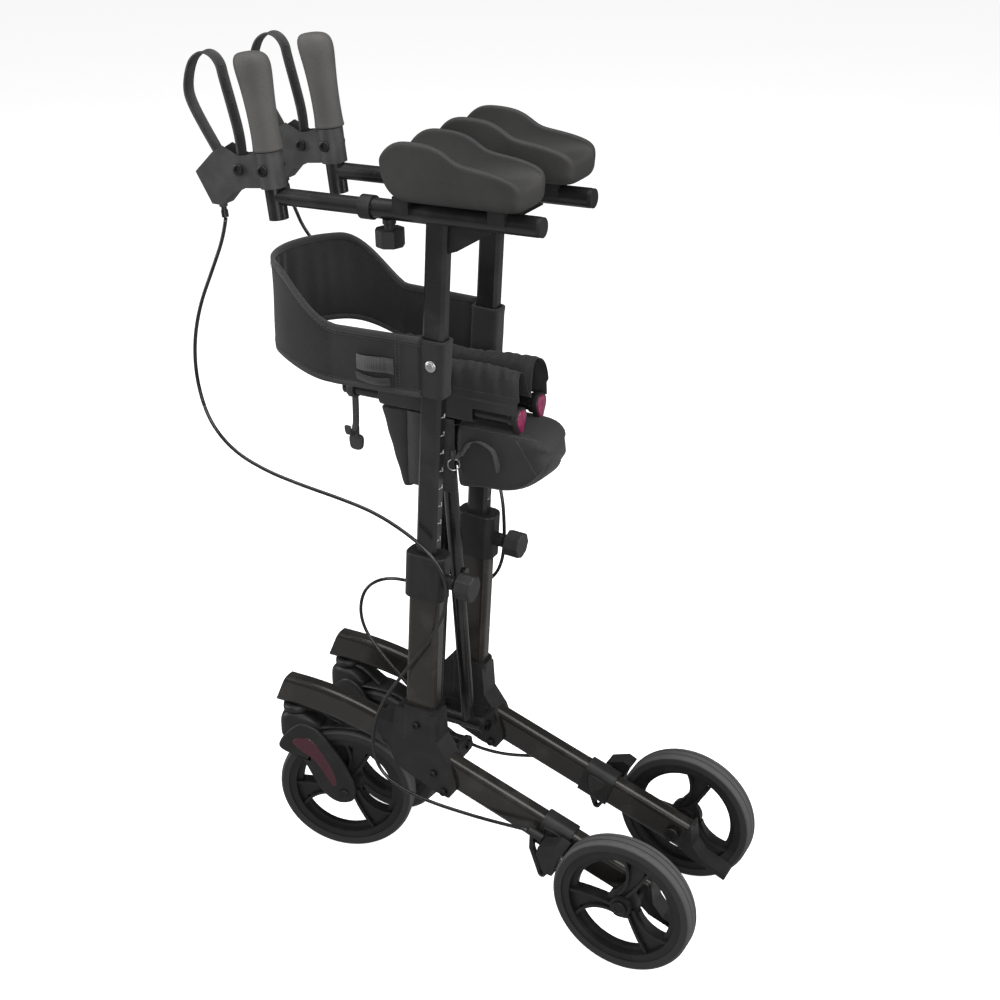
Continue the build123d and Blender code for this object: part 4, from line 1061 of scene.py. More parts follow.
def smooth_profile(points, steps):
    """Even places along a profile, by the Catmull-Rom rule."""
    line = []
    for k in range(len(points) - 1):
        a = points[max(k - 1, 0)]
        b, c = points[k], points[k + 1]
        d = points[min(k + 2, len(points) - 1)]
        for t in (j / steps for j in range(steps)):
            line.append(tuple(between(a[i], b[i], c[i], d[i], t) for i in (0, 1)))
    return line + [points[-1]]


hem_rear = 0.262


def sling_half(side, columns=64):
    """One half of the sheet, from the valley over the hump and round the rail to its seam."""
    sign = sides[side]
    profile = smooth_profile(sling_profile, 4)
    points, faces, uvs = [], [], []
    count = len(profile)
    for column in range(columns + 1):
        u = column / columns
        x = sling_rear + (sling_front - sling_rear) * u
        ends = abs(2 * u - 1) ** 3
        run = 0.0
        for k, (y, z) in enumerate(profile):
            v = k / (count - 1)
            hump = math.exp(-((v - 0.24) / 0.16) ** 2)
            wrinkle = 0.0011 * math.sin(31 * u + 5 * sign + 9 * v) * math.sin(17 * u + 11 * v + sign)
            slump = -0.0035 * hump * (0.5 + 0.5 * math.sin(7.5 * u + 2.1 * sign)) + 0.0016 * ends * hump
            ripple = 0.0009 * math.sin(95 * u + 14 * v) * hump
            lean = 0.0012 * math.sin(9 * u + 4 * v + sign) * hump
            edge = 0.004 * ends * math.sin(10 * v) * (1 if u < 0.5 else -1)
            if k:
                run += math.dist(profile[k], profile[k - 1])
            calm = 1.0 if v < 0.42 else 0.15
            points.append(at(x + edge * calm, sign * (y + (lean + wrinkle) * calm),
                             rail_level + z + (slump + ripple + wrinkle) * calm))
            uvs.append((x, run))
    for column in range(columns):
        bare = sling_rear + (sling_front - sling_rear) * column / columns < hem_rear
        for k in range(50 if bare else count - 1):
            a = column * count + k
            faces.append((a, a + 1, a + count + 1, a + count))
    return points, faces, uvs, run


def sling_sheet(side):
    points, faces, uvs, run = sling_half(side)
    sheet = mesh_piece(side + "_sling", points, faces)
    layer = sheet.data.uv_layers.new(name="cloth")
    for loop in sheet.data.loops:
        layer.data[loop.index].uv = uvs[loop.vertex_index]
    thick = sheet.modifiers.new("thick", "SOLIDIFY")
    thick.thickness = 0.0007
    thick.offset = 0.0
    return soften(sheet, levels=1), run


def sling_line(side, at_part, lift, swing=0.0, steps=120):
    """A line along the sheet at one place of its profile, which may zigzag."""
    sign = sides[side]
    profile = smooth_profile(sling_profile, 4)
    y, z = profile[round(at_part * (len(profile) - 1))]
    line = []
    for k in range(steps + 1):
        x = sling_rear + 0.004 + (sling_front - sling_rear - 0.008) * k / steps
        line.append(at(x, sign * (y + lift), rail_level + z + (swing if k % 2 else -swing)))
    return line


pieces = []
for side in sides:
    sheet, half_run = sling_sheet(side)
    sheet.data.materials.append(seat_nylon)
    pieces.append(sheet)
    for part, swing in ((0.405, 0.0), (0.44, 0.0018)):
        line = sling_line(side, part, 0.0006, swing)
        pieces.append(seam(f"{side}_sling_seam_{part}", line, pitch=0.0026, long=0.0011, thick=0.00040))
sling = join("seat_cloth", pieces)
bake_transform(sling)
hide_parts("seat_sling")
2 * half_run
print("sling faces", len(sling.data.polygons), "sheet", round(2 * half_run, 3), "m across")

# %% [markdown]
# ## Bag under the seat
# The bag hangs from the same rails. It has a flat panel in front that narrows downwards, two side
# panels, and a pouch at the rear that sags open. Webbing loops and a split ring hang on its side.

# %% Bag shape
bag_stations = [  # forward, top, bottom, half width at the top, half width at the bottom
    (0.1640, 0.690, 0.6700, 0.0330, 0.0300), (0.1680, 0.700, 0.6560, 0.0385, 0.0370),
    (0.1760, 0.709, 0.6450, 0.0405, 0.0415), (0.1880, 0.714, 0.6345, 0.0410, 0.0425),
    (0.2080, 0.715, 0.6265, 0.0412, 0.0425), (0.2320, 0.7155, 0.6220, 0.0412, 0.0420),
    (0.2560, 0.7158, 0.6200, 0.0412, 0.0415), (0.2800, 0.7158, 0.6185, 0.0412, 0.0412),
    (0.2930, 0.7158, 0.6165, 0.0412, 0.0410),
]


def bag_rear():
    """The pouch: a closed skin with a sagging floor and a puckered top edge."""
    rings = []
    count = 44
    for k, (x, top, low, wide_top, wide_low) in enumerate(bag_stations):
        ring = []
        for t in range(count):
            v = t / count
            a = math.tau * v
            c, d = math.cos(a), math.sin(a)
            y = swell(c, 0.34)
            z = swell(d, 0.45)
            height = (z + 1) / 2
            wide = wide_low + (wide_top - wide_low) * height
            crease = 0.0016 * math.sin(60 * x + 7 * a) * math.sin(3 * a + 40 * x)
            sag = 0.0022 * math.sin(90 * x + 2.0 * a) * (1 - height)
            ring.append(at(x + 0.002 * math.sin(5 * a) * (1 - k / 8), y * (wide + crease * 0.6),
                           low + (top - low) * height + (crease + sag) * (0.3 + 0.7 * (1 - height))))
        rings.append(ring)
    return loft("bag_rear", rings)


def bag_front_panel(sign):
    """The flat side panel that hangs in front of the bars and narrows to a point."""
    top = rail_level - 0.0142
    corners = [(0.3570, top), (0.4030, top), (0.3700, 0.6040), (0.3560, 0.6040)]
    rings = []
    rows = 26
    for k in range(rows + 1):
        v = k / rows
        rear = corners[0][0] + (corners[3][0] - corners[0][0]) * v
        front = corners[1][0] + (corners[2][0] - corners[1][0]) * v
        z = top + (corners[2][1] - top) * v
        bow = 0.0015 * math.sin(2.6 * v + 0.4) + 0.0006 * math.sin(21 * v + sign)
        wide = sign * (0.0400 + bow)
        other = -sign * 0.0400
        rings.append([at(rear, wide, z), at(front - 0.003, wide, z), at(front, wide - sign * 0.003, z),
                      at(front + 0.001 * math.sin(9 * v), 0.0, z), at(front, other + sign * 0.003, z),
                      at(front - 0.003, other, z), at(rear, other, z), at(rear + 0.001, 0.0, z)])
    return loft("bag_front", rings)


def strap(name, line, width, thick, across):
    """A strip of webbing along a line. across gives the direction of its width."""
    rings = []
    wide = Vector(across).normalized() * width / 2
    for k, point in enumerate(line):
        ahead = (line[min(k + 1, len(line) - 1)] - line[max(k - 1, 0)]).normalized()
        up = ahead.cross(wide).normalized() * thick / 2
        rings.append([point - wide - up, point + wide - up, point + wide + up, point - wide + up])
    piece = loft(name, rings)
    return map_cloth(piece, lambda p: (p.x + p.z, p.y + p.z))


def arc_line(places, steps=6):
    """A smooth line through places from the rear axle."""
    points = [at(*p) for p in places]
    line = []
    for k in range(len(points) - 1):
        a, b, c, d = (points[max(k - 1, 0)], points[k], points[k + 1], points[min(k + 2, len(points) - 1)])
        for t in (j / steps for j in range(steps)):
            line.append(between(a, b, c, d, t))
    return line + [points[-1]]


def split_ring(name, centre, radius, wire, tip):
    """Two turns of wire, as a key ring has."""
    line = []
    for k in range(97):
        a = math.tau * 2 * k / 96
        spot = Vector((math.cos(a) * radius, (k / 96 - 0.5) * wire * 2.2, math.sin(a) * radius))
        line.append(centre + Matrix.Rotation(tip, 3, "Z") @ spot)
    return tube(name, line, wire / 2, around=8)


def bag_side(sign):
    """The panel that closes the bag's side between the pouch and the front panel."""
    rings = []
    rows = 24
    for k in range(rows + 1):
        v = k / rows
        z = 0.7158 + (0.6110 - 0.7158) * v
        bow = 0.0010 * math.sin(3.1 * v) + 0.0005 * math.sin(23 * v + sign)
        out, inside = sign * (0.0412 + bow), sign * (0.0400 + bow)
        rings.append([at(0.2900, out, z), at(0.3120, out + sign * 0.0006, z),
                      at(0.3360, out - sign * 0.0004, z), at(0.3600, out, z), at(0.3600, inside, z),
                      at(0.3360, inside, z), at(0.3120, inside, z), at(0.2900, inside, z)])
    return loft(f"bag_side_{sign}", rings)


pouch = soften(bag_rear(), levels=1)
map_cloth(pouch, lambda p: (p.x + p.y * 0.7, p.z + p.y * 0.3))
front = soften(bag_front_panel(1), levels=2)
map_cloth(front, lambda p: (p.x + p.y, p.z))
panels = [map_cloth(bag_side(sign), lambda p: (p.x + p.y, p.z)) for sign in (1, -1)]
pieces = [pouch, front] + panels
for piece in pieces:
    piece.data.materials.append(seat_nylon)
hem = [at(0.166 + 0.127 * k / 60, 0.0425, 0.7105 - 0.0008 * math.sin(k)) for k in range(61)]
pieces.append(seam("bag_hem", hem, pitch=0.003))
rear_seam = arc_line([(0.1690, 0.0392, 0.6560), (0.1800, 0.0425, 0.6750), (0.1990, 0.0432, 0.7050)], 14)
pieces.append(seam("bag_rear_seam", rear_seam, pitch=0.003))
loops = {
    "bag_loop_rear": [(0.2250, 0.0425, 0.6560), (0.2270, 0.0455, 0.6720), (0.2300, 0.0475, 0.6850),
                      (0.2400, 0.0480, 0.6925), (0.2530, 0.0470, 0.6950), (0.2650, 0.0455, 0.6900),
                      (0.2730, 0.0440, 0.6790), (0.2790, 0.0430, 0.6680)],
    "bag_loop_front": [(0.2800, 0.0430, 0.6730), (0.2860, 0.0450, 0.6640), (0.2890, 0.0460, 0.6640),
                       (0.2900, 0.0440, 0.6740)],
}
for name, places in loops.items():
    piece = strap(name, arc_line(places), 0.007, 0.0011, (0.5, 0.8, 0.1))
    piece.data.materials.append(webbing)
    pieces.append(piece)
ring = split_ring("bag_ring", at(0.2890, 0.0455, 0.6550), 0.0078, 0.0013, 0.5)
ring.data.materials.append(steel)
pieces.append(ring)
bag = join("bag_cloth", pieces)
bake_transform(bag)
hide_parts("under_seat_bag")
print("bag faces", len(bag.data.polygons))

# %% [markdown]
# ## Caster forks
# A caster fork is one nylon moulding: a cup for the stem, two arms down to the axle, and a guard
# that arches over the wheel. It is drawn in the wheel's own plane, in metres forward of the axle,
# above it, and across it, then turned with the caster. The maroon inset lies in a shallow well.

# %% Caster forks
stem_forward = 0.5406
arm_outline = [(0.0830, 0.0960), (0.0955, 0.0760), (0.0900, 0.0660), (0.0650, 0.0600), (0.0505, 0.0330),
               (0.0360, 0.0050), (0.0240, -0.0090), (0.0120, -0.0165), (0.0000, -0.0175), (-0.0115, -0.0130),
               (-0.0172, 0.0000), (-0.0140, 0.0200), (-0.0020, 0.0500), (0.0140, 0.0760), (0.0320, 0.1010),
               (0.0460, 0.1100), (0.0640, 0.1120)]
inset_outline = [(0.0745, 0.0830), (0.0560, 0.0900), (0.0430, 0.0850), (0.0280, 0.0640), (0.0160, 0.0400),
                 (0.0100, 0.0160), (0.0165, 0.0130), (0.0290, 0.0340), (0.0450, 0.0560), (0.0620, 0.0680)]


def fork_place(side):
    """A function from the wheel's plane to a point in space."""
    angle = caster_angle[side]
    centre = at(stem_forward - 0.072 * math.cos(angle), sides[side] * half_track - 0.072 * math.sin(angle),
                wheel_radius)
    forward = Vector((math.cos(angle), math.sin(angle), 0))
    across = Vector((-math.sin(angle), math.cos(angle), 0))
    return lambda u, v, w: centre + forward * u + Vector((0, 0, v)) + across * w


def closed_smooth(points, steps=3):
    """A closed outline rounded by the Catmull-Rom rule."""
    count = len(points)
    line = []
    for k in range(count):
        a, b, c, d = (points[(k + j) % count] for j in (-1, 0, 1, 2))
        for t in (j / steps for j in range(steps)):
            line.append(tuple(between(a[i], b[i], c[i], d[i], t) for i in (0, 1)))
    return line


def shrunk(outline, factor):
    """An outline drawn towards its own middle."""
    u = sum(p[0] for p in outline) / len(outline)
    v = sum(p[1] for p in outline) / len(outline)
    return [(u + (p[0] - u) * factor, v + (p[1] - v) * factor) for p in outline]


def plate(name, outline, place, low, high, round_by=0.0025):
    """A moulded plate between two heights, with a rounded rim and a slightly crowned face."""
    levels = [(0.90, low), (0.97, low), (1.0, low + round_by), (1.0, high - round_by),
              (0.985, high - round_by * 0.35), (0.95, high), (0.80, high + round_by * 0.12),
              (0.40, high + round_by * 0.12)]
    rings = [[place(u, v, w) for u, v in shrunk(outline, factor)] for factor, w in levels]
    return loft(name, rings)


def turned(name, profile, base, axis, around=40):
    """A turned shape: radius and height pairs about an axis."""
    axis, side, other = square_to(axis)
    rings = []
    for radius, height in profile:
        turns = [math.tau * t / around for t in range(around)]
        rings.append([base + axis * height + side * math.cos(a) * radius + other * math.sin(a) * radius
                      for a in turns])
    return loft(name, rings)


def hex_head(name, base, axis, radius=0.0062, height=0.0030):
    """A round bolt head with a hexagonal socket."""
    axis, side, other = square_to(axis)
    turns = [math.tau * t / 36 for t in range(36)]

    def ring(size, lift, six=False):
        spots = []
        for a in turns:
            reach = size
            if six:
                reach = size / math.cos((a % (math.pi / 3)) - math.pi / 6) * math.cos(math.pi / 6)
            spots.append(base + axis * lift + side * math.cos(a) * reach + other * math.sin(a) * reach)
        return spots

    rings = [ring(radius, -0.001), ring(radius, height - 0.0010), ring(radius - 0.0004, height - 0.0003),
             ring(radius - 0.0012, height), ring(radius * 0.56, height, True),
             ring(radius * 0.53, height - 0.0004, True), ring(radius * 0.53, height - 0.0022, True)]
    head = loft(name, rings)
    shade(head.data, False)
    return head


def caster_fork(side):
    place = fork_place(side)
    pieces = []
    outline = closed_smooth(arm_outline)
    for name, low, high, flip in (("outer", 0.0175, 0.0245, 1), ("inner", 0.0175, 0.0245, -1)):
        sided = (lambda f: lambda u, v, w: place(u, v, w * f))(flip)
        pieces.append(plate(f"{side}_arm_{name}", outline, sided, low, high))
    crown = []
    for u, low, high, wide in ((0.0300, 0.0990, 0.1080, 0.0150), (0.0380, 0.0960, 0.1180, 0.0205),
                               (0.0520, 0.0950, 0.1260, 0.0225), (0.0720, 0.0920, 0.1290, 0.0230),
                               (0.0860, 0.0840, 0.1280, 0.0225), (0.0950, 0.0800, 0.1200, 0.0190)):
        ring = []
        for t in range(28):
            a = math.tau * t / 28
            c, d = math.cos(a), math.sin(a)
            ring.append(place(u, (low + high) / 2 + swell(d, 0.5) * (high - low) / 2,
                              swell(c, 0.5) * wide))
        crown.append(ring)
    pieces.append(soften(loft(side + "_crown", crown), levels=1))
    cup_base = at(stem_forward, sides[side] * half_track, wheel_radius)
    cup = [(0.0150, 0.0850), (0.0185, 0.0900), (0.0198, 0.1050), (0.0192, 0.1180), (0.0188, 0.1240),
           (0.0182, 0.1248), (0.0182, 0.1262), (0.0196, 0.1270), (0.0200, 0.1300), (0.0194, 0.1345),
           (0.0176, 0.1362), (0.0120, 0.1368), (0.0090, 0.1350)]
    pieces.append(turned(side + "_cup", cup, cup_base, Vector((0, 0, 1))))
    guard = []
    for k in range(25):
        a = math.radians(58 + 66 * k / 24)
        ring = []
        taper = 0.75 + 0.25 * math.sin(math.pi * min(1.0, k / 18))
        for radial, across in ((0.0, -1.0), (0.0034, -0.93), (0.0048, -0.80), (0.0052, 0.0), (0.0048, 0.80),
                               (0.0034, 0.93), (0.0, 1.0), (-0.0010, 0.0)):
            reach = 0.1075 + radial
            ring.append(place(math.cos(a) * reach, math.sin(a) * reach, across * 0.0205 * taper))
        guard.append(ring)
    pieces.append(soften(loft(side + "_guard", guard), levels=1))
    neck = [(0.0560, 0.1290), (0.0420, 0.1290), (0.0280, 0.1245), (0.0160, 0.1180), (0.0040, 0.1120)]
    rings = []
    for k, (u, v) in enumerate(smooth_profile(neck, 5)):
        wide = 0.0075 + 0.004 * k / 20
        rings.append([place(u + b * 0.0022, v + b * 0.0034, c * wide) for b, c in
                      ((-1, -1), (-1, 1), (0, 1.15), (1, 1), (1, -1), (0, -1.15))])
    pieces.append(soften(loft(side + "_neck", rings), levels=1))
    for piece in pieces:
        piece.data.materials.append(nylon)
    across = (place(0, 0, 1) - place(0, 0, 0)).normalized()
    for sign in (1, -1):
        sided = (lambda f: lambda u, v, w: place(u, v, w * f))(sign)
        inset = plate(f"{side}_inset_{sign}", closed_smooth(inset_outline), sided, 0.0238, 0.0253, 0.0006)
        inset.data.materials.append(dark_maroon)
        pieces.append(inset)
        head = hex_head(f"{side}_axle_{sign}", place(0, 0, 0.0246 * sign), across * sign, 0.0072, 0.0034)
        head.data.materials.append(dark_steel)
        pieces.append(head)
    fork = join(side + "_fork", pieces)
    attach(fork, side + "_caster")
    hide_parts(side + "_caster_fork")
    return fork


for side in sides:
    fork = caster_fork(side)
    print(fork.name, len(fork.data.polygons), "faces")

# %% [markdown]
# ## Grips and loop levers
# The grip is a rubber sleeve that swells into a round head for the palm. The brake lever is a flat
# nylon band bent into a loop, squeezed to brake. Both follow the grip post, which leans forward,
# so their places are given along it and ahead of it.

# %% Grips
def grip_at(height, ahead=0.0, across=0.0, side=1):
    """A point beside the grip post: along the post, ahead of it and across it."""
    foot = at(0.2901 + 0.237 * math.cos(arm_fall), side * half_track, 0.9941 - 0.237 * math.sin(arm_fall))
    along = Vector((math.sin(grip_lean), 0, math.cos(grip_lean)))
    forward = Vector((math.cos(grip_lean), 0, -math.sin(grip_lean)))
    return foot + along * height + forward * ahead + Vector((0, across, 0))


grip_stations = [  # height, ahead, half length, half width
    (0.0570, 0.0, 0.0150, 0.0150), (0.0572, 0.0, 0.0196, 0.0176), (0.0600, 0.0, 0.0198, 0.0178),
    (0.0620, 0.0, 0.0192, 0.0172), (0.0760, 0.0002, 0.0186, 0.0165), (0.0960, 0.0008, 0.0188, 0.0165),
    (0.1160, 0.0014, 0.0198, 0.0170), (0.1340, 0.0020, 0.0213, 0.0180), (0.1480, 0.0026, 0.0228, 0.0188),
    (0.1580, 0.0032, 0.0238, 0.0190), (0.1660, 0.0038, 0.0237, 0.0184), (0.1720, 0.0045, 0.0222, 0.0168),
    (0.1762, 0.0054, 0.0188, 0.0138), (0.1785, 0.0066, 0.0140, 0.0100), (0.1793, 0.0076, 0.0070, 0.0050),
]


def palm_grip(side):
    rings = []
    for height, ahead, long, wide in grip_stations:
        ring = []
        for t in range(40):
            a = math.tau * t / 40
            c, d = math.cos(a), math.sin(a)
            tip = 0.0022 * max(0.0, c) ** 2 * max(0.0, (height - 0.14) / 0.04)
            ring.append(grip_at(height - 0.25 * tip, ahead + swell(c, 0.92) * long + tip,
                                swell(d, 0.92) * wide, sides[side]))
        rings.append(ring)
    grip = soften(loft(side + "_palm_grip", rings), levels=1)
    grip.data.materials.append(grip_skin)
    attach(grip, side + "_handle")
    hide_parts(side + "_grip")
    return grip


for side in sides:
    grip = palm_grip(side)
    print(grip.name, len(grip.data.polygons), "faces")

# %% Loop levers
lever_line = [(0.5935, 1.0050), (0.6020, 1.0200), (0.6120, 1.0380), (0.6300, 1.0660), (0.6440, 1.0900),
              (0.6500, 1.1080), (0.6478, 1.1280), (0.6400, 1.1470), (0.6290, 1.1570), (0.6180, 1.1600),
              (0.6070, 1.1560), (0.5990, 1.1460), (0.5955, 1.1330), (0.5915, 1.1180), (0.5850, 1.0940),
              (0.5785, 1.0680), (0.5755, 1.0480), (0.5750, 1.0300), (0.5780, 1.0150)]


def loop_lever(side):
    """The band, its round hub at the pivot, and the row of dimples near the top of its rear leg."""
    sign = sides[side]
    line = smooth_profile(lever_line, 6)
    section = [(-1.0, -1.0), (-0.86, -1.12), (-0.72, -0.62), (0.72, -0.62), (0.86, -1.12), (1.0, -1.0),
               (1.0, 1.0), (0.86, 1.12), (0.72, 0.62), (-0.72, 0.62), (-0.86, 1.12), (-1.0, 1.0)]
    rings = []
    for k, (x, z) in enumerate(line):
        before, after = line[max(k - 1, 0)], line[min(k + 1, len(line) - 1)]
        ahead = Vector((after[0] - before[0], 0, after[1] - before[1])).normalized()
        out = Vector((-ahead.z, 0, ahead.x))
        rings.append([at(x, sign * half_track, z) + Vector((0, across * 0.0095, 0)) + out * thick * 0.0014
                      for across, thick in section])
    band = smooth_plate(loft(side + "_lever_band", rings), 0.0004, 2)
    pivot = grip_at(0.036, 0.0405, 0.0, sign)
    profile = [(0.0030, -0.0095), (0.0092, -0.0095), (0.0104, -0.0085), (0.0104, 0.0085), (0.0092, 0.0095),
               (0.0030, 0.0095)]
    hub = turned(side + "_lever_hub", profile, pivot, Vector((0, 1, 0)))
    pieces = [band, hub]
    for piece in pieces:
        piece.data.materials.append(handle_nylon)
    dimples = [at(x - 0.0016, sign * half_track, z) for x, z in
               ((0.5985, 1.1450), (0.5950, 1.1320), (0.5905, 1.1150), (0.5865, 1.0990))]
    pieces.append(seam(side + "_dimples", dimples, pitch=0.0152, long=0.0014, thick=0.0013,
                       material=handle_nylon))
    lever = join(side + "_loop_lever", pieces)
    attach(lever, side + "_lever")
    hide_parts(side + "_brake_lever")
    return lever


for side in sides:
    lever = loop_lever(side)
    print(lever.name, len(lever.data.polygons), "faces")

# %% [markdown]
# ## Rail caps and bolt heads
# Each seat rail ends in a teardrop cap with a bright inset. Every bolt has a round head with a
# hexagonal socket, so one helper puts a head on the end of each bolt that the design has.

# %% Rail caps
def teardrop(scale, steps=30):
    """A teardrop outline: round above, narrowing to a tip below."""
    outline = []
    for k in range(steps):
        a = math.tau * k / steps
        tail = max(0.0, -math.sin(a)) ** 2.2
        outline.append((math.cos(a) * scale * (1 - 0.42 * tail), math.sin(a) * scale * (1 + 0.85 * tail)))
    return outline


for rail, body, sign in (("seat_rail_a", "bar_a", -1), ("seat_rail_b", "bar_b", 1)):
    low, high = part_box(rail)
    centre = Vector((low.x, (low.y + high.y) / 2, (low.z + high.z) / 2))
    facing = (lambda c: lambda u, v, w: c + Vector((-w, -u, v)))(centre)
    shell = plate(rail + "_cap_shell", teardrop(0.0150), facing, -0.0060, 0.0020, 0.0012)
    shell.data.materials.append(nylon)
    gem = plate(rail + "_cap_gem", teardrop(0.0122), facing, 0.0012, 0.0030, 0.0006)
    gem.data.materials.append(bright_maroon)
    ridge_line = [facing(0, 0.010 - 0.030 * k / 8, 0.0030) for k in range(9)]
    ridge = tube(rail + "_cap_ridge", ridge_line, 0.0007, 8)
    ridge.data.materials.append(bright_maroon)
    cap = join(rail + "_cap", [shell, gem, ridge])
    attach(cap, body)
print("rail caps", 2)

# %% Bolt heads
def loose_parts(node):
    """The boxes of the separate solids in one of the design's parts."""
    build = bmesh.new()
    build.from_mesh(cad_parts[node].data)
    bmesh.ops.remove_doubles(build, verts=build.verts, dist=2e-5)
    left = set(build.verts)
    boxes = []
    while left:
        stack, group = [left.pop()], []
        while stack:
            vert = stack.pop()
            group.append(vert.co.copy())
            for edge in vert.link_edges:
                other = edge.other_vert(vert)
                if other in left:
                    left.remove(other)
                    stack.append(other)
        low = Vector([min(p[i] for p in group) for i in range(3)])
        high = Vector([max(p[i] for p in group) for i in range(3)])
        boxes.append((low, high))
    build.free()
    return boxes


for side in sides:
    for node, body in ((side + "_frame_hardware", side + "_lower"), (side + "_housing_bolts", side + "_handle")):
        heads = []
        for k, (low, high) in enumerate(loose_parts(node)):
            size = high - low
            if size.y < 0.012 or size.y < 1.2 * max(size.x, size.z):
                continue
            middle_point = (low + high) / 2
            radius = max(0.0074 if body.endswith("handle") else 0.0056, min(size.x, size.z) / 2)
            for sign in (1, -1):
                base = Vector((middle_point.x, high.y if sign > 0 else low.y, middle_point.z))
                heads.append(hex_head(f"{node}_{k}_{sign}", base - Vector((0, sign * 0.0004, 0)),
                                      Vector((0, sign, 0)), radius, 0.0016))
        for head in heads:
            head.data.materials.append(dark_steel)
        if heads:
            count = len(heads)
            cluster = join(node + "_heads", heads)
            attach(cluster, body)
            print(node, "heads", count)

# %% [markdown]
# ## Fold hook, clamp windows, scale and belt trim
# The hook that keeps the walker folded is a strip of nylon: a ring round the rail, a thin strap, a
# curl wide enough for the other rail and a thumb pad. Each brake clamp has a D-shaped window with a
# raised rim, through which the rail shows. The inner posts carry a printed height scale of ticks
# and plain numbers, and a screw, a loop and a loose tail finish the belt.

# %% Fold hook
hook_low, hook_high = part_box("fold_hook")
hook_at = Vector(((hook_low.x + hook_high.x) / 2, rail_half, rail_level))
hook_places = [(0.0, -0.0125), (0.0, -0.028), (0.0003, -0.042), (0.0012, -0.053), (0.0050, -0.0610),
               (0.0115, -0.0640), (0.0180, -0.0615), (0.0212, -0.0555), (0.0218, -0.0490)]
hook_line = [hook_at + Vector((0, y, z)) for y, z in smooth_profile(hook_places, 6)]
ring_profile = [(0.0112, -0.0048), (0.0146, -0.0048), (0.0150, -0.0042), (0.0150, 0.0042),
                (0.0146, 0.0048), (0.0112, 0.0048), (0.0112, -0.0048)]
ring = turned("hook_ring", ring_profile, hook_at, Vector((1, 0, 0)))
curl = smooth_plate(strap("hook_curl", hook_line, 0.0086, 0.0040, (1, 0, 0)), 0.0009)
pad_spot = hook_at + Vector((0, 0.0008, -0.0800))
pad_place = (lambda c: lambda u, v, w: c + Vector((u, -w * 0.9, v)))(pad_spot)
thumb_outline = closed_smooth([(-0.0085, 0.0095), (0.0085, 0.0095), (0.0100, -0.0030),
                               (0.0062, -0.0105), (-0.0062, -0.0105), (-0.0100, -0.0030)], 5)
thumb = plate("hook_thumb", thumb_outline, pad_place, -0.0030, 0.0030, 0.0014)
neck_line = [hook_at + Vector((0, 0.0022, z)) for z in (-0.0560, -0.0640, -0.0735)]
neck = smooth_plate(strap("hook_neck", neck_line, 0.0100, 0.0044, (1, 0, 0)), 0.0009)
for piece in (ring, curl, thumb, neck):
    piece.data.materials.append(handle_nylon)
hook = join("folding_hook", [ring, curl, thumb, neck])
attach(hook, "hook")
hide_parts("fold_hook")
print("hook faces", len(hook.data.polygons))

# %% Clamp windows
clamp_spot = (0.1200, 0.1433)
window = closed_smooth([(-0.0120, 0.0095), (0.0120, 0.0095), (0.0135, 0.0020), (0.0080, -0.0105),
                        (0.0000, -0.0135), (-0.0080, -0.0105), (-0.0135, 0.0020)], 5)


def window_place(sign, face):
    """A function from a window's plane to a point in space."""
    centre = at(clamp_spot[0], sign * half_track + face * 0.0171, clamp_spot[1] + 0.004)
    along = Vector((math.cos(rail_slope), 0, math.sin(rail_slope)))
    up = Vector((-math.sin(rail_slope), 0, math.cos(rail_slope)))
    return lambda u, v, w: centre + along * u + up * v + Vector((0, face * w, 0))


for side, sign in sides.items():
    for face in (1, -1):
        place = window_place(sign, face)
        pane = plate(f"{side}_pane_{face}", window, place, -0.0020, 0.0001, 0.0003)
        pane.data.materials.append(frame_paint)
        loop_line = [place(u, v, 0.0001) for u, v in window]
        rim = tube(f"{side}_rim_{face}", loop_line + loop_line[:2], 0.0012, 10)
        rim.data.materials.append(nylon)
        trim = join(f"{side}_window_{'out' if face * sign > 0 else 'in'}", [pane, rim])
        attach(trim, side + "_lower")
print("clamp windows", 4)

# %% Height scale
def printed(name, text, place, size):
    """A number as a thin plate, standing on the post's rear face."""
    data = bpy.data.curves.new(name, "FONT")
    data.body = text
    data.size = size
    data.extrude = 0.00006
    data.align_x = "CENTER"
    data.align_y = "CENTER"
    sign = bpy.data.objects.new(name, data)
    link(sign)
    bpy.context.view_layer.update()
    mesh = bpy.data.meshes.new_from_object(sign.evaluated_get(bpy.context.evaluated_depsgraph_get()))
    bpy.data.objects.remove(sign)
    for vertex in mesh.vertices:
        vertex.co = place(-vertex.co.x, vertex.co.y, vertex.co.z)
    piece = bpy.data.objects.new(name, mesh)
    link(piece)
    mesh.flip_normals()
    return piece


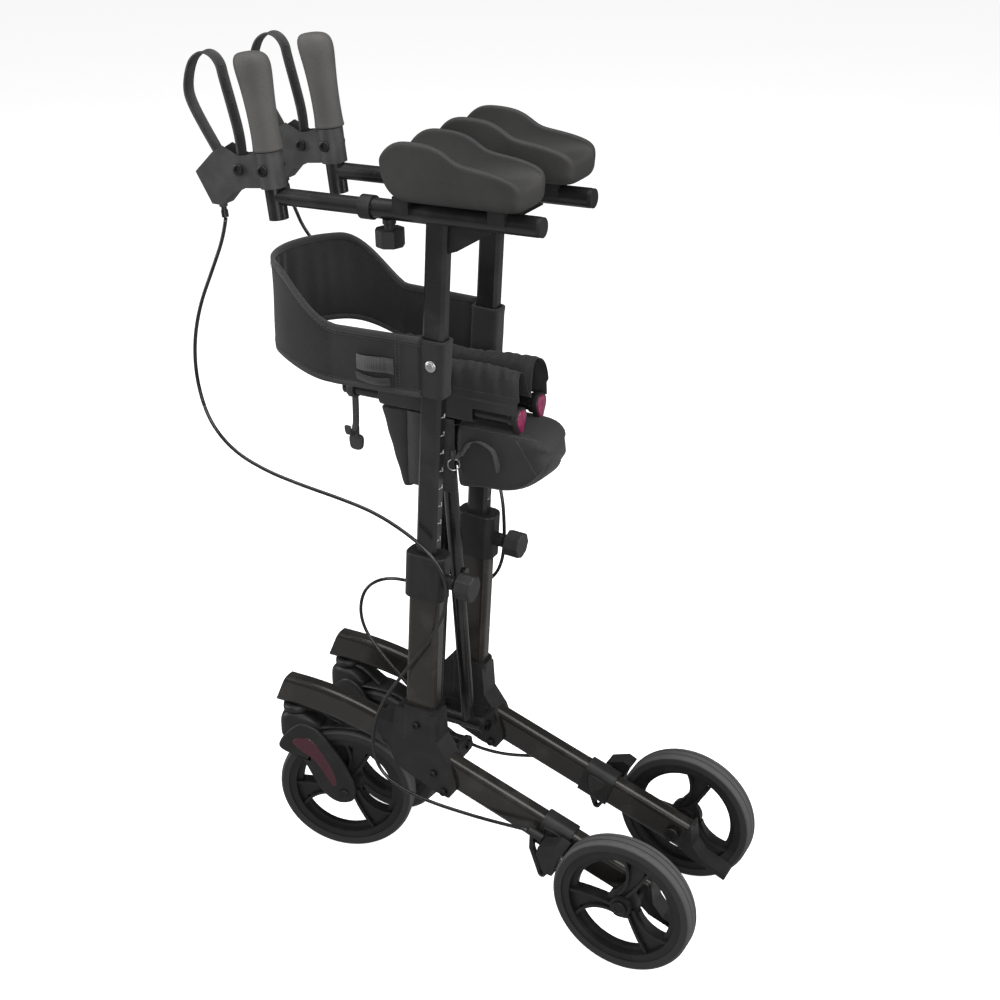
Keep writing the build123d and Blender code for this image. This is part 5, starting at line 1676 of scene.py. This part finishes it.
def scale_place(height, sign, aside=0.0):
    """A function from a mark's plane on the post's rear face to a point in space."""
    return lambda u, v, w: (post_at(height + v, ahead=-0.01515 - w, side=sign)
                            + Vector((0, u + aside, 0)))


tick = [(0.0005, -0.0004), (0.0050, -0.0004), (0.0050, 0.0004), (0.0005, 0.0004)]
for side, sign in sides.items():
    marks = []
    for k in range(8):
        z = 0.556 + 0.0252 * k
        marks.append(extruded(f"{side}_tick_{k}", tick, scale_place(z, sign), 0.00012))
        number_place = scale_place(z, sign, -0.0028)
        marks.append(printed(f"{side}_number_{k}", str(k + 1), number_place, 0.0085))
    for mark in marks:
        mark.data.materials.append(ink)
    scale = join(side + "_scale", marks)
    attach(scale, side + "_upper")
print("scales", 2)

# %% Belt trim
for sign in (1, -1):
    facing_out = Vector((0, sign, 0))
    screw = hex_head(f"belt_screw_{sign}", at(0.298, sign * 0.0868, 0.803), facing_out, 0.0056, 0.0024)
    washer_profile = [(0.002, 0.0), (0.0072, 0.0), (0.0076, 0.0006), (0.0070, 0.0012), (0.002, 0.0014)]
    washer = turned(f"belt_washer_{sign}", washer_profile, at(0.298, sign * 0.0862, 0.803), facing_out)
    trim = join(f"belt_fixing_{'left' if sign > 0 else 'right'}", [screw, washer])
    trim.data.materials.clear()
    trim.data.materials.append(steel)
    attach(trim, ("left" if sign > 0 else "right") + "_upper")
loop_line = arc_line([(0.3480, 0.0925, 0.7960), (0.3560, 0.0990, 0.7990), (0.3680, 0.1030, 0.7995),
                      (0.3820, 0.1030, 0.7985), (0.3950, 0.0985, 0.7970), (0.4010, 0.0945, 0.7960)], 8)
band_loop = strap("belt_loop", loop_line, 0.020, 0.0012, (0, 0, 1))
band_loop.data.materials.append(webbing)
tail_line = arc_line([(0.3520, 0.0955, 0.7760), (0.3680, 0.0985, 0.7745), (0.3860, 0.0975, 0.7750),
                      (0.4020, 0.0950, 0.7770)], 8)
tail = strap("belt_tail", tail_line, 0.012, 0.0011, (0, 0.3, 1))
tail.data.materials.append(binding_tape)
loop = join("belt_strap", [band_loop, tail])
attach(loop, "left_upper")
print("belt trim", 3)
